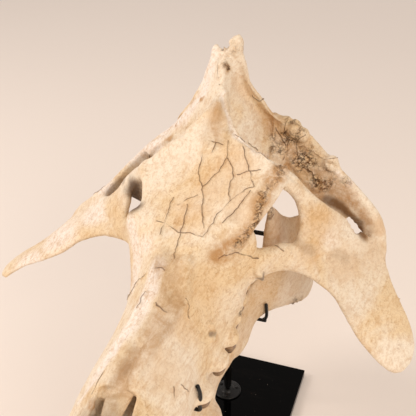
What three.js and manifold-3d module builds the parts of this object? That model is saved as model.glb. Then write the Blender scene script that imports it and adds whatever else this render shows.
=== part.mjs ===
// Fossil entelodont skull with its lower jaw, on a museum mount. Millimetres, +Z up.
// The part's origin is the centre of the base's underside, and the snout points along -Y.
// The bones are modelled in the skull's own frame: +X is the animal's left, +Y its back,
// z = 0 is the upper tooth line and y = 0 is below the middle of the eye sockets.
import * as THREE from "three";
import { mergeVertices } from "three/addons/utils/BufferGeometryUtils.js";
import Module from "manifold-3d";

const wasm = await Module();
wasm.setup();

// Driving dimensions
const GAP = 0.3; // clearance kept between touching pieces
const NOSE_DOWN = THREE.MathUtils.degToRad(12); // the mount holds the snout this far down
const BASE = { width: 212, length: 364, thickness: 12, edge: 1.5 };
const FOOT = { radius: 21, height: 7 }; // the flange that holds the post
const POST = { y: 97, radius: 6, top: 316 };
const BAR = 3; // radius of the mount's steel rods
const SKULL_AT = { y: -11, z: 306 }; // the skull frame's origin above the base
const CHEEK_FROM = 98; // the cheek bones part from the cranium this far from the midline
const SNOUT_FROM = -45; // the snout parts from the cranium here, between two cheek teeth

const BONE = { color: 0xdcbf8f, roughness: 0.72, metalness: 0 };
const CHEEK = { color: 0xe3c391, roughness: 0.6, metalness: 0 };
const JAW = { color: 0xd6b99a, roughness: 0.72, metalness: 0 };
const STEEL = { color: 0x16130f, roughness: 0.45, metalness: 0.6 };
const GLOSS = { color: 0x050505, roughness: 0.08, metalness: 0 };

const vec = (p) => new THREE.Vector3(p[0], p[1], p[2]);

function catmull(a, b, c, d, t) {
  const bend = 2 * a - 5 * b + 4 * c - d;
  const twist = 3 * b - a - 3 * c + d;
  return 0.5 * (2 * b + (c - a) * t + bend * t * t + twist * t * t * t);
}

// Rows of numbers, smoothed lengthwise: the way from one row to the next gets `steps` steps.
function smoothRows(rows, steps) {
  const at = (i) => rows[Math.min(Math.max(i, 0), rows.length - 1)];
  const made = [];
  for (let i = 0; i < rows.length - 1; i++) {
    for (let k = 0; k < steps; k++) {
      const t = k / steps;
      made.push(at(i).map((_, j) => catmull(at(i - 1)[j], at(i)[j], at(i + 1)[j], at(i + 2)[j], t)));
    }
  }
  made.push(rows[rows.length - 1].slice());
  return made;
}

// A closed body through rings of points, each ring with the same count, and a fan over each end.
function loft(rings) {
  const count = rings[0].length;
  const points = rings.flat();
  const faces = [];
  for (let r = 0; r < rings.length - 1; r++) {
    for (let i = 0; i < count; i++) {
      const a = r * count + i;
      const b = r * count + ((i + 1) % count);
      faces.push(a, b, b + count, a, b + count, a + count);
    }
  }
  const last = (rings.length - 1) * count;
  const middle = (ring) => ring.reduce((sum, p) => sum.add(p), new THREE.Vector3()).divideScalar(count);
  const front = points.length;
  points.push(middle(rings[0]), middle(rings[rings.length - 1]));
  for (let i = 0; i < count; i++) {
    const j = (i + 1) % count;
    faces.push(front, j, i, front + 1, last + i, last + j);
  }
  const geometry = new THREE.BufferGeometry().setFromPoints(points);
  geometry.setIndex(faces);
  return geometry;
}

// A ring round `centre` with half-axes `across` and `through`, squarer as `power` falls below 1.
function ovalRing(centre, across, through, count, power = 1) {
  const ring = [];
  for (let i = 0; i < count; i++) {
    const angle = (i / count) * 2 * Math.PI;
    const c = Math.cos(angle);
    const s = Math.sin(angle);
    ring.push(
      vec(centre)
        .addScaledVector(across, Math.sign(c) * Math.abs(c) ** power)
        .addScaledVector(through, Math.sign(s) * Math.abs(s) ** power),
    );
  }
  return ring;
}

// A flat bone through rows of [x, y, z of one edge, x, y, z of the other edge, thickness].
function blade(rows, { steps = 2, count = 10, power = 0.85 } = {}) {
  const smooth = smoothRows(rows, steps);
  const centreOf = (r) => new THREE.Vector3(r[0] + r[3], r[1] + r[4], r[2] + r[5]).multiplyScalar(0.5);
  let previous = null;
  return loft(
    smooth.map((r, i) => {
      const across = new THREE.Vector3(r[3] - r[0], r[4] - r[1], r[5] - r[2]).multiplyScalar(0.5);
      const before = centreOf(smooth[Math.max(i - 1, 0)]);
      const along = centreOf(smooth[Math.min(i + 1, smooth.length - 1)]).sub(before);
      const through = new THREE.Vector3().crossVectors(across, along).setLength(r[6] / 2);
      if (previous && through.dot(previous) < 0) through.negate();
      previous = through;
      return ovalRing(centreOf(r).toArray(), across, through, count, power);
    }),
  );
}

// A round bar through rows of [x, y, z, radius].
function rod(rows, { steps = 1, count = 8 } = {}) {
  const smooth = smoothRows(rows, steps);
  let previous = new THREE.Vector3(0.3, 0.2, 1);
  return loft(
    smooth.map((r, i) => {
      const along = vec(smooth[Math.min(i + 1, smooth.length - 1)]).sub(vec(smooth[Math.max(i - 1, 0)]));
      along.normalize();
      const across = previous.clone().addScaledVector(along, -previous.dot(along)).setLength(r[3]);
      previous = across.clone().normalize();
      const through = new THREE.Vector3().crossVectors(along, across);
      return ovalRing(r, across, through, count);
    }),
  );
}

// Upright ovals along the skull: rows of [y, half-width, z, half-height].
const tunnel = (rows, count, power) =>
  loft(
    smoothRows(rows, 2).map(([y, w, z, h]) =>
      ovalRing([0, y, z], new THREE.Vector3(w, 0, 0), new THREE.Vector3(0, 0, h), count, power),
    ),
  );

function ball([x, y, z, a, b, c]) {
  const geometry = new THREE.SphereGeometry(1, 10, 6);
  geometry.scale(a, b, c);
  geometry.translate(x, y, z);
  return geometry;
}

// The same rows on the other side of the midline.
const opposite = (rows, places = [0, 3]) =>
  rows.map((row) => row.map((value, i) => (places.includes(i) ? -value : value)));
const bothSides = (rows, make, places) => [make(rows), make(opposite(rows, places))];

// three.js geometry to a solid that can be joined and cut, and back.
function solid(geometry) {
  const bare = geometry.clone();
  bare.deleteAttribute("normal");
  bare.deleteAttribute("uv");
  const merged = mergeVertices(bare, 1e-4);
  const triVerts = new Uint32Array(merged.index.array);
  const vertProperties = merged.attributes.position.array;
  const made = new wasm.Manifold(new wasm.Mesh({ numProp: 3, vertProperties, triVerts }));
  if (made.volume() > 0) return made;
  triVerts.reverse();
  return new wasm.Manifold(new wasm.Mesh({ numProp: 3, vertProperties, triVerts }));
}

const fuse = (geometries) => geometries.map(solid).reduce((whole, next) => whole.add(next));
const larger = (one, other) => (other.volume() > one.volume() ? other : one);
const largest = (made) => made.decompose().reduce(larger);

// Corners closer than `near` become one, and faces that lose their area by it are left out.
function geometryOf(made, near = 0.05) {
  const { numProp, vertProperties, triVerts } = made.getMesh();
  const points = [];
  for (let i = 0; i < vertProperties.length; i += numProp) {
    points.push(vertProperties[i], vertProperties[i + 1], vertProperties[i + 2]);
  }
  const rough = new THREE.BufferGeometry();
  rough.setAttribute("position", new THREE.Float32BufferAttribute(points, 3));
  rough.setIndex([...triVerts]);
  const geometry = mergeVertices(rough, near);
  const kept = [];
  const index = geometry.index.array;
  for (let i = 0; i < index.length; i += 3) {
    const [a, b, c] = [index[i], index[i + 1], index[i + 2]];
    if (a !== b && b !== c && c !== a) kept.push(a, b, c);
  }
  geometry.setIndex(kept);
  return geometry;
}

// Cranium

// Half sections from the tip of the snout to the back of the braincase: y, then z of the top
// at the midline, (x, z) of the top ridge, the side and the lower edge, and z of the underside.
const TRUNK = [
  [-364, 12, 6, 12, 10, 4, 7, -4, -6],
  [-356, 32, 14, 29, 27, 10, 22, -6, 0],
  [-330, 48, 18, 47, 42, 16, 36, -6, 6],
  [-295, 66, 19, 66, 55, 26, 46, -5, 10],
  [-250, 79, 19, 81, 55, 40, 48, -4, 14],
  [-200, 88, 18, 91, 51, 50, 47, -4, 16],
  [-150, 97, 17, 99, 46, 56, 49, -4, 18],
  [-105, 107, 18, 108, 49, 60, 53, -3, 18],
  [-75, 115, 24, 116, 57, 70, 56, -2, 18],
  [-48, 124, 44, 123, 69, 86, 57, 2, 20],
  [-30, 129, 54, 126, 77, 101, 54, 22, 30],
  [-14, 132, 48, 126, 70, 100, 46, 44, 44],
  [15, 136, 32, 128, 44, 94, 36, 60, 56],
  [50, 144, 24, 138, 40, 100, 34, 64, 58],
  [80, 156, 15, 148, 44, 108, 36, 64, 58],
  [110, 184, 10, 168, 50, 112, 40, 60, 56],
  [140, 204, 9, 180, 56, 112, 46, 60, 56],
  [162, 210, 12, 178, 58, 108, 46, 60, 60],
  [176, 150, 12, 136, 34, 104, 26, 70, 66],
];

function trunkRing([y, top, ridgeX, ridgeZ, sideX, sideZ, lowX, lowZ, bottom], perSpan) {
  const half = [
    [ridgeX, ridgeZ],
    [sideX, sideZ],
    [lowX, lowZ],
  ];
  const loop = [
    vec([0, y, top]),
    ...half.map(([x, z]) => vec([x, y, z])),
    vec([0, y, bottom]),
    ...half.reverse().map(([x, z]) => vec([-x, y, z])),
  ];
  const curve = new THREE.CatmullRomCurve3(loop, true, "catmullrom", 0.5);
  return curve.getPoints(loop.length * perSpan).slice(0, -1);
}

const trunk = () => loft(smoothRows(TRUNK, 2).map((row) => trunkRing(row, 2)));

// The forehead, which overhangs the eye sockets and narrows to the crest: left edge, right edge,
// thickness. The ground has pressed it askew, so that its left edge is the higher one.
const BROW = [
  [48, -62, 104, -40, -64, 99, 10],
  [66, -45, 113, -53, -47, 105, 15],
  [75, -29, 124, -57, -30, 112, 20],
  [83, -15, 134, -63, -15, 117, 20],
  [90, 3, 140, -68, 0, 121, 20],
  [95, 28, 145, -76, 22, 128, 20],
  [92, 44, 152, -80, 36, 134, 20],
  [69, 53, 158, -62, 48, 150, 20],
  [44, 65, 163, -42, 64, 162, 22],
  [24, 80, 172, -25, 82, 175, 22],
  [10, 98, 186, -12, 98, 188, 22],
  [3, 114, 198, -6, 114, 199, 16],
];

// The crest along the top: its upper edge, its foot, thickness.
const CREST = [
  [-1, 100, 190, 0, 92, 130, 12],
  [-2, 116, 206, 0, 118, 140, 8],
  [-5, 130, 219, 0, 145, 140, 9],
  [-9, 148, 230, 0, 164, 140, 16],
];

// The back plate: z, x of its middle, half-width, y of its edges, y of its middle. Its top is
// the crest, and the left point of the crest stands lower than the right one.
const NAPE = [
  [238, -10, 14, 168, 163],
  [222, -9, 19, 160, 160],
  [205, -9, 25, 156, 161],
  [190, -7, 29, 150, 162],
  [172, -5, 42, 147, 163],
  [153, -3, 54, 146, 165],
  [131, 0, 76, 152, 168],
  [112, 0, 82, 158, 172],
  [90, 0, 66, 162, 180],
  [66, 0, 40, 168, 184],
];
const NAPE_THICK = 12;

function nape() {
  const across = 6;
  const rings = smoothRows(NAPE, 1).map(([z, x, halfWidth, edgeY, middleY]) => {
    const tilt = z > 200 ? 6 : 0;
    const point = (i, off) => {
      const u = (i / across) * 2 - 1;
      const y = middleY + (edgeY - middleY) * u * u + off * (1 - 0.5 * u * u);
      return vec([x + u * halfWidth, y, z + tilt * u]);
    };
    const steps = Array.from({ length: across + 1 }, (_, i) => i);
    return [
      ...steps.map((i) => point(i, -NAPE_THICK / 2)),
      ...steps.reverse().map((i) => point(i, NAPE_THICK / 2)),
    ];
  });
  return loft(rings);
}

// The floor of the braincase, the walls behind the palate, the neck joint and the spurs beside it.
const SKULL_FLOOR = [
  [0, 186, 78, 20],
  [0, 140, 66, 19],
  [0, 90, 56, 17],
  [0, 40, 50, 20],
  [0, 0, 46, 24],
];
const PALATE_WALL = [
  [30, -24, 4, 30, -24, 60, 14],
  [30, 10, 2, 30, 10, 62, 10],
  [29, 44, 10, 30, 40, 70, 8],
  [28, 66, 26, 30, 60, 78, 7],
  [27, 84, 15, 29, 74, 66, 6],
];
const NECK_KNUCKLE = [22, 190, 76, 15, 16, 20];
const NECK_SPUR = [
  [44, 158, 110, 66, 158, 110, 14],
  [44, 156, 80, 62, 156, 80, 12],
  [44, 152, 55, 56, 152, 55, 8],
  [46, 150, 36, 52, 150, 36, 5],
];

// Cheeks: the arch from the skull's back corner, the bar behind the eye, the cheek bone and its
// flange. A row is the outer or upper edge, the inner or lower edge, and the thickness.
// The right side lies lower and further forward than the left, as the ground left it.
const LEFT = {
  arch: [
    [50, 160, 146, 52, 122, 64, 22],
    [78, 166, 130, 82, 118, 58, 20],
    [102, 156, 117, 106, 112, 50, 18],
    [126, 138, 106, 130, 106, 42, 16],
    [158, 120, 88, 156, 103, 42, 15],
    [186, 104, 70, 179, 94, 32, 16],
    [200, 92, 54, 190, 82, 20, 18],
    [206, 76, 36, 194, 66, 8, 18],
    [204, 60, 26, 190, 50, 8, 16],
  ],
  bar: [
    [84, 52, 150, 82, 30, 142, 18],
    [98, 56, 137, 93, 34, 134, 16],
    [118, 58, 114, 103, 41, 114, 15],
    [136, 63, 95, 109, 38, 98, 15],
    [150, 71, 78, 112, 28, 82, 16],
    [164, 76, 60, 110, 12, 68, 18],
    [176, 76, 44, 112, 4, 54, 18],
  ],
  cheek: [
    [72, -28, 88, 66, -30, 44, 26],
    [88, -12, 82, 82, -14, 45, 22],
    [102, 6, 77, 98, -3, 42, 19],
    [113, 15, 64, 116, 0, 40, 14],
    [124, 24, 48, 131, 6, 38, 8],
  ],
  flange: [
    [172, 76, 50, 106, 6, 50, 15],
    [198, 74, 36, 128, 1, 36, 15],
    [211, 58, 24, 158, -6, 21, 15],
    [222, 39, 13, 174, -18, 9, 14],
    [236, 20, 1, 184, -28, 2, 14],
    [248, 6, -10, 195, -38, -6, 14],
    [257, -12, -19, 209, -47, -15, 13],
    [260, -28, -26, 223, -54, -23, 12],
    [257, -42, -31, 234, -57, -29, 10],
    [250, -53, -33, 243, -57, -32, 6],
  ],
};
const RIGHT = {
  arch: [
    [-50, 150, 160, -52, 118, 64, 22],
    [-75, 136, 131, -82, 110, 58, 20],
    [-90, 124, 120, -104, 104, 50, 18],
    [-107, 108, 108, -128, 96, 42, 15],
    [-130, 90, 86, -150, 88, 28, 13],
    [-150, 76, 64, -172, 78, 16, 13],
    [-170, 67, 44, -186, 70, 10, 15],
    [-190, 60, 28, -196, 58, 6, 16],
    [-196, 50, 22, -190, 44, 6, 16],
  ],
  bar: [
    [-74, 42, 134, -70, 20, 128, 18],
    [-96, 46, 115, -87, 27, 114, 14],
    [-113, 52, 95, -98, 24, 97, 13],
    [-131, 56, 70, -99, 14, 82, 14],
    [-148, 60, 52, -100, 4, 70, 16],
    [-164, 64, 42, -104, 0, 54, 16],
  ],
  cheek: [
    [-64, -30, 86, -60, -32, 46, 26],
    [-78, -14, 80, -76, -16, 46, 23],
    [-94, 0, 74, -94, -5, 43, 19],
    [-107, 8, 60, -110, -1, 41, 14],
    [-120, 18, 44, -127, 5, 38, 8],
  ],
  flange: [
    [-168, 72, 40, -104, 0, 46, 14],
    [-187, 64, 27, -125, 4, 39, 14],
    [-200, 50, 18, -149, 1, 32, 14],
    [-213, 35, 8, -170, -6, 24, 13],
    [-228, 20, -2, -183, -20, 18, 12],
    [-243, 6, -10, -199, -27, 11, 11],
    [-259, -8, -16, -217, -33, 3, 10],
    [-270, -24, -21, -236, -37, -5, 9],
    [-274, -38, -24, -251, -45, -12, 8],
    [-270, -49, -23, -262, -53, -19, 5],
  ],
};
const JAW_SOCKET = [
  [84, 128, 58, 10],
  [102, 126, 57, 14],
  [122, 121, 54, 14],
  [140, 114, 48, 9],
];

const cheekBones = (side) => [
  blade(side.arch),
  blade(side.bar),
  blade(side.cheek, { steps: 1 }),
  blade(side.flange),
];

// The nose opening, cut from the front and the top, and the prong that hangs over it.
const NOSE_HOLLOW = [
  [-374, 15, 46, 26],
  [-340, 19, 60, 34],
  [-300, 20, 70, 42],
  [-262, 20, 74, 44],
  [-236, 19.5, 68, 34],
  [-226, 17, 58, 20],
  [-196, 12, 54, 14],
];
const NASAL_PRONG = [
  [-150, 22, 91, 7],
  [-200, 20, 83, 6],
  [-226, 18.5, 79, 5],
  [-248, 12.5, 75.5, 4.5],
  [-270, 7, 72, 4],
  [-288, 2.5, 69, 2.5],
];

// Teeth of the left side: x, y, crown height, half-length, half-width, bluntness, lean.
const UPPER_TEETH = [
  [9, -351, 20, 6, 6, 0.3, -3],
  [21, -342, 22, 7, 6, 0.3, -2],
  [33, -322, 24, 8, 7, 0.3, 0],
  [44, -283, 46, 13, 11, 0.25, 5],
  [46, -232, 18, 10, 6, 0.3, 0],
  [50, -160, 14, 9, 7, 0.3, 2],
  [53, -117, 14, 11, 8, 0.3, 2],
  [54, -86, 13, 10, 10, 0.45, 0],
  [50, -58, 11, 13, 12, 0.7, 0],
  [49, -31, 11, 14, 12, 0.7, 0],
  [47, -6, 10, 12, 11, 0.7, 0],
];
const LOWER_TEETH = [
  [6, -334, 13, 5, 4.5, 0.3, -3],
  [15, -325, 14, 6, 4.5, 0.3, -2],
  [27, -306, 15, 9, 7, 0.25, -2],
  [31, -256, 14, 8, 5, 0.3, 0],
  [34, -206, 17, 10, 6, 0.3, 2],
  [37, -142, 15, 11, 6, 0.3, 2],
  [38, -103, 12, 10, 7, 0.45, 0],
  [40, -72, 7, 12, 8, 0.7, 0],
  [41, -45, 7, 12, 9, 0.7, 0],
  [42, -18, 7, 13, 9, 0.7, 0],
];
const SUNK = 8; // how far the roots reach into the bone
const CROWN = [
  [0, 0.85],
  [0.3, 1],
  [0.7, 0.7],
  [1, 0.2],
];

function teeth(rows, root, down) {
  const made = [];
  for (const [x, y, height, long, wide, blunt, lean] of rows) {
    for (const side of [1, -1]) {
      const rings = CROWN.map(([t, size]) => {
        const full = t < 0.5 ? size : size * (1 - blunt) + blunt;
        const z = root - down * SUNK + down * (height + SUNK) * t;
        const across = new THREE.Vector3(wide * full, 0, 0);
        return ovalRing([x * side, y + lean * t * t, z], across, new THREE.Vector3(0, long * full, 0), 6);
      });
      made.push(loft(rings));
    }
  }
  return made;
}

function wholeCranium() {
  const bones = [
    trunk(),
    blade(BROW, { count: 12, power: 0.7 }),
    blade(CREST, { steps: 1, count: 8 }),
    nape(),
    rod(SKULL_FLOOR),
    ...bothSides(PALATE_WALL, (rows) => blade(rows, { steps: 1, count: 8 })),
    ...bothSides(NECK_SPUR, (rows) => blade(rows, { steps: 1, count: 8 })),
    ...bothSides([NECK_KNUCKLE], ([row]) => ball(row), [0]),
    ...bothSides(JAW_SOCKET, rod, [0]),
    ...cheekBones(LEFT),
    ...cheekBones(RIGHT),
  ];
  return fuse(bones)
    .subtract(solid(tunnel(NOSE_HOLLOW, 14, 0.6)))
    .add(solid(tunnel(NASAL_PRONG, 10, 0.85)))
    .add(fuse(teeth(UPPER_TEETH, -2, -1)));
}

// Lower jaw

const JAW_LINE = -25; // the bone's edge along the lower teeth
const CHIN = [
  [-346, 8, -36, 7],
  [-338, 18, -38, 12],
  [-318, 28, -45, 20],
  [-280, 31, -53, 27],
  [-240, 35, -59, 34],
  [-205, 38, -59, 33],
  [-192, 34, -56, 26],
];
// Each side's body and its upright branch: upper edge, lower edge, thickness.
const JAW_BODY = [
  [22, -236, -27, 26, -232, -92, 24],
  [30, -190, -26, 36, -190, -92, 24],
  [37, -150, -25, 41, -150, -88, 22],
  [41, -105, -24, 38, -105, -80, 20],
  [43, -70, -22, 43, -70, -80, 21],
  [46, -40, -20, 49, -40, -80, 21],
  [50, -10, -18, 54, -10, -80, 20],
  [58, 14, -10, 61, 14, -78, 17],
  [70, 36, 0, 75, 36, -76, 17],
  [77, 64, 10, 88, 64, -82, 9],
];
const JAW_BRANCH = [
  [68, 26, 2, 67, 22, -62, 8],
  [70, 32, 66, 72, 28, -72, 12],
  [75, 38, 96, 80, 38, -79, 13],
  [77, 50, 88, 90, 52, -87, 12],
  [80, 68, 64, 99, 69, -98, 11],
  [87, 88, 42, 107, 89, -110, 11],
  [96, 108, 32, 111, 109, -117, 11],
  [102, 121, 24, 112, 126, -104, 11],
  [103, 125, 4, 108, 132, -74, 8],
];
const JAW_KNUCKLE = [
  [92, 117, 30, 6],
  [102, 117, 31, 10],
  [116, 116, 30, 10],
  [129, 113, 26, 6],
];
const JAW_KNOBS = [
  [48, -168, -80, 20, 46, 22],
  [48, -26, -76, 12, 26, 11],
];

function wholeJaw() {
  return fuse([
    tunnel(CHIN, 20, 0.8),
    ...bothSides(JAW_BODY, (rows) => blade(rows, { steps: 1 })),
    ...bothSides(JAW_BRANCH, (rows) => blade(rows, { steps: 1, power: 0.75 })),
    ...bothSides(JAW_KNUCKLE, rod, [0]),
    ...JAW_KNOBS.flatMap((row) => bothSides([row], ([knob]) => ball(knob), [0])),
    ...teeth(LOWER_TEETH, JAW_LINE + 2, 1),
  ]);
}

// Mount

function basePlate() {
  const w = BASE.width / 2 - BASE.edge;
  const l = BASE.length / 2 - BASE.edge;
  const corners = [
    [-w, -l],
    [w, -l],
    [w, l],
    [-w, l],
  ];
  const outline = new THREE.Shape(corners.map(([x, y]) => new THREE.Vector2(x, y)));
  const plate = new THREE.ExtrudeGeometry(outline, {
    depth: BASE.thickness - 2 * BASE.edge,
    bevelEnabled: true,
    bevelThickness: BASE.edge,
    bevelSize: BASE.edge,
    bevelSegments: 2,
  });
  plate.translate(0, 0, BASE.edge);
  return plate;
}

// The flange: a turned disc that rises to a collar round the post.
function foot() {
  const { radius, height } = FOOT;
  const profile = [
    [0, 0],
    [radius, 0],
    [radius, 2.2],
    [radius - 1, 3],
    [POST.radius + 4, 3.6],
    [POST.radius + 3, height],
    [0, height],
  ];
  const disc = new THREE.LatheGeometry(profile.map(([x, y]) => new THREE.Vector2(x, y)), 24);
  disc.rotateX(Math.PI / 2);
  disc.translate(0, POST.y, BASE.thickness + GAP);
  return disc;
}

const turned = new THREE.Matrix4().makeRotationX(NOSE_DOWN).setPosition(0, SKULL_AT.y, SKULL_AT.z);
const placed = ([x, y, z]) => vec([x, y, z]).applyMatrix4(turned).toArray();
const bar = (points, radius = BAR, steps = 1, count = 8) =>
  rod(points.map((p) => [...p, radius]), { steps, count });

// The upright and its cradle: a rod under the braincase, one forward below the palate, and the
// clips that reach out between the teeth and up the outside of the upper jaw.
const CRADLE = { y: 84, z: 9, reach: 62, clipY: -176, clipZ: -9, clipX: 49, clipTop: 36 };

function cradle() {
  const { y, z, reach, clipY, clipZ, clipX, clipTop } = CRADLE;
  const clip = (side) => {
    const points = [
      [0, clipY, clipZ],
      [side * 40, clipY, clipZ],
      [side * (clipX + 4), clipY, clipZ],
      [side * (clipX + 5.5), clipY, 0],
      [side * (clipX + 7.5), clipY, 20],
      [side * (clipX + 5.5), clipY, clipTop],
    ];
    return bar(points.map(placed), 2);
  };
  const postTop = [0, POST.y, POST.top];
  const postFoot = [0, POST.y, BASE.thickness + FOOT.height + 2 * GAP];
  return fuse([
    bar([postFoot, postTop], POST.radius, 1, 16),
    bar([postTop, [0, POST.y - 10, POST.top + 12], placed([0, y, z])], 4),
    bar([placed([-reach, y, z]), placed([reach, y, z])]),
    bar([placed([0, y, z]), placed([0, 20, -2]), placed([0, clipY, clipZ])]),
    clip(1),
    clip(-1),
  ]);
}

// The jaw's rest: a rod under the jaw, hooked up round it at both ends, on an arm that is
// clamped to the post with a collar.
const REST = { y: 16, z: -81.5, top: -46, x: 74.5, collar: { radius: 10, height: 14 } };

function jawRest() {
  const { y, z, top, x, collar } = REST;
  const [, middleY, middleZ] = placed([0, y, z]);
  const hooked = [-1, 1].map((side) =>
    [
      [side * x, y - 1, top],
      [side * x, y, -70],
      [side * (x - 4), y, z + 2.5],
      [side * (x - 13), y, z],
    ].map(placed),
  );
  const ring = new THREE.CylinderGeometry(collar.radius, collar.radius, collar.height, 24);
  ring.rotateX(Math.PI / 2);
  ring.translate(0, POST.y, middleZ);
  const hole = new THREE.CylinderGeometry(POST.radius + GAP, POST.radius + GAP, 2 * collar.height, 16);
  hole.rotateX(Math.PI / 2);
  hole.translate(0, POST.y, middleZ);
  return fuse([
    bar([...hooked[0], ...hooked[1].reverse()], 2.2),
    bar([[0, POST.y, middleZ], [0, middleY, middleZ]], 4),
    ring,
  ]).subtract(solid(hole));
}

const material = (look) => new THREE.MeshStandardMaterial(look);

function meshOf(name, geometry, look) {
  const mesh = new THREE.Mesh(geometry, material(look));
  mesh.name = name;
  return mesh;
}

// The object

// The half of space on the far side of a flat cut: `at` along `axis`, kept towards `side`.
function beyond(axis, side, at) {
  const span = 1000;
  const box = new THREE.BoxGeometry(span, span, span);
  const middle = new THREE.Vector3().setComponent(axis, at + (side * span) / 2);
  box.translate(middle.x, middle.y, middle.z);
  return solid(box);
}

const whole = wholeCranium();
const outside = [1, -1].map((side) => beyond(0, side, side * CHEEK_FROM));
const middle = whole.subtract(outside[0]).subtract(outside[1]);
const cranium = largest(middle.subtract(beyond(1, -1, SNOUT_FROM)));
const snout = largest(middle.intersect(beyond(1, -1, SNOUT_FROM - GAP)));
const cheeks = [1, -1].map((side) => {
  const outer = beyond(0, side, side * (CHEEK_FROM + GAP));
  return largest(whole.intersect(outer));
});
const jaw = largest(wholeJaw());

const skull = new THREE.Group();
skull.rotation.x = NOSE_DOWN;
skull.position.set(0, SKULL_AT.y, SKULL_AT.z);
skull.add(
  meshOf("cranium", geometryOf(cranium), BONE),
  meshOf("snout", geometryOf(snout), BONE),
  meshOf("cheek_left", geometryOf(cheeks[0]), CHEEK),
  meshOf("cheek_right", geometryOf(cheeks[1]), CHEEK),
  meshOf("lower_jaw", geometryOf(jaw), JAW),
);

const part = new THREE.Group();
part.add(
  skull,
  meshOf("stand_base", basePlate(), GLOSS),
  meshOf("stand_foot", geometryOf(solid(foot())), STEEL),
  meshOf("stand_post", geometryOf(cradle()), STEEL),
  meshOf("stand_jaw_rest", geometryOf(jawRest()), STEEL),
);

export default part;
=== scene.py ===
import math
import random

import bmesh
import bpy
import numpy as np
import openvdb as vdb
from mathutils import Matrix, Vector
from mathutils.bvhtree import BVHTree


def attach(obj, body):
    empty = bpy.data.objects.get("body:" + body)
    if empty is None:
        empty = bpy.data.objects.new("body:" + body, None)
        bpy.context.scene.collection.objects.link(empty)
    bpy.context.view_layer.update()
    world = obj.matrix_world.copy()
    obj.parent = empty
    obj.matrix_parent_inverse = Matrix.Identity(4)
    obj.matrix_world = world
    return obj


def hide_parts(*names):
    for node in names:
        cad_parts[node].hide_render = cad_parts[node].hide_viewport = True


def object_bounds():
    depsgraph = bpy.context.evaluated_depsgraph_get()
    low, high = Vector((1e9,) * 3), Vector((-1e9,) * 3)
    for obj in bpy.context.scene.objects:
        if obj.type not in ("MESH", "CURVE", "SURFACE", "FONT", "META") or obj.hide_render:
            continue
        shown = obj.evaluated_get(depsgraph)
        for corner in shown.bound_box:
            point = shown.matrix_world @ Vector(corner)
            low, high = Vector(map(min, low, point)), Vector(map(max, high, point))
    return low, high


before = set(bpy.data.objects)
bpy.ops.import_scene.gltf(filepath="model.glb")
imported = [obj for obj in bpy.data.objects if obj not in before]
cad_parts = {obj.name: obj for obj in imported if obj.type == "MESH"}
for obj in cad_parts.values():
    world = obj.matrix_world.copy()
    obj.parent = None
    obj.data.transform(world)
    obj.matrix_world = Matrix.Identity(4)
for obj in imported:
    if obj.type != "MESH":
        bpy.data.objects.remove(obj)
cad_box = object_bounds()

MM = 0.001
ROOT = "root"
NOSE_DOWN = math.radians(12)
SKULL_AT = (0, -11, 306)
BASE = {"width": 212, "length": 364, "thickness": 12}
FOOT = {"radius": 21, "height": 7}
POST = {"y": 97, "radius": 6, "top": 316}
BAR = 3  # radius of the cradle's bars
THIN_BAR = 2.2  # radius of the clips and hooks
NECK_BAR = 4  # radius of the bars that leave the post
GAP = 0.3  # between the base, the foot and the post
# The cradle under the skull and the rest under the jaw, in the skull's frame.
CRADLE = {
    "y": 84, "z": 9, "reach": 62,
    "clip_y": -176, "clip_z": -9, "clip_x": 49, "clip_top": 36,
}
REST = {"y": 16, "z": -81.5, "top": -46, "x": 74.5, "collar": 10, "collar_height": 14}

# The camera, fitted to the photograph: its place, what it looks at, and its focal length in the
# photograph's pixels.
EYE = (236.5, -685.3, 817.2)
LOOK = (-3.2, 10.7, 392.2)
FOCAL_PX = 700
PHOTO_PX = 416

FINE = 1.45  # grid step of the bones' distance fields
BAND = 12  # how far from a surface its distance is known
MARGIN = 0.05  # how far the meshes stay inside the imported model's box
LINE_STEP = 3  # from point to point of a line on a bone, in millimetres or pixels
JUMP = 14  # a line on a bone is parted where it would leap further

# Half sections from the tip of the snout to the back of the braincase: y, then z of the top
# at the midline, (x, z) of the top ridge, the side and the lower edge, and z of the underside.
TRUNK = [
    [-364, 12, 6, 12, 10, 4, 7, -4, -6],
    [-356, 32, 14, 29, 27, 10, 22, -6, 0],
    [-330, 48, 18, 47, 42, 16, 36, -6, 6],
    [-295, 66, 19, 66, 55, 26, 46, -5, 10],
    [-250, 79, 19, 81, 55, 40, 48, -4, 14],
    [-200, 88, 18, 91, 51, 50, 47, -4, 16],
    [-150, 97, 17, 99, 46, 56, 49, -4, 18],
    [-105, 107, 18, 108, 49, 60, 53, -3, 18],
    [-75, 115, 24, 116, 57, 70, 56, -2, 18],
    [-48, 124, 44, 123, 69, 86, 57, 2, 20],
    [-30, 129, 54, 126, 77, 101, 54, 22, 30],
    [-14, 132, 48, 126, 70, 100, 46, 44, 44],
    [15, 136, 32, 128, 44, 94, 36, 60, 56],
    [50, 144, 24, 138, 40, 100, 34, 64, 58],
    [80, 156, 15, 148, 44, 108, 36, 64, 58],
    [110, 184, 10, 168, 50, 112, 40, 60, 56],
    [140, 204, 9, 180, 56, 112, 46, 60, 56],
    [162, 210, 12, 178, 58, 108, 46, 60, 60],
    [176, 150, 12, 136, 34, 104, 26, 70, 66],
]

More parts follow.
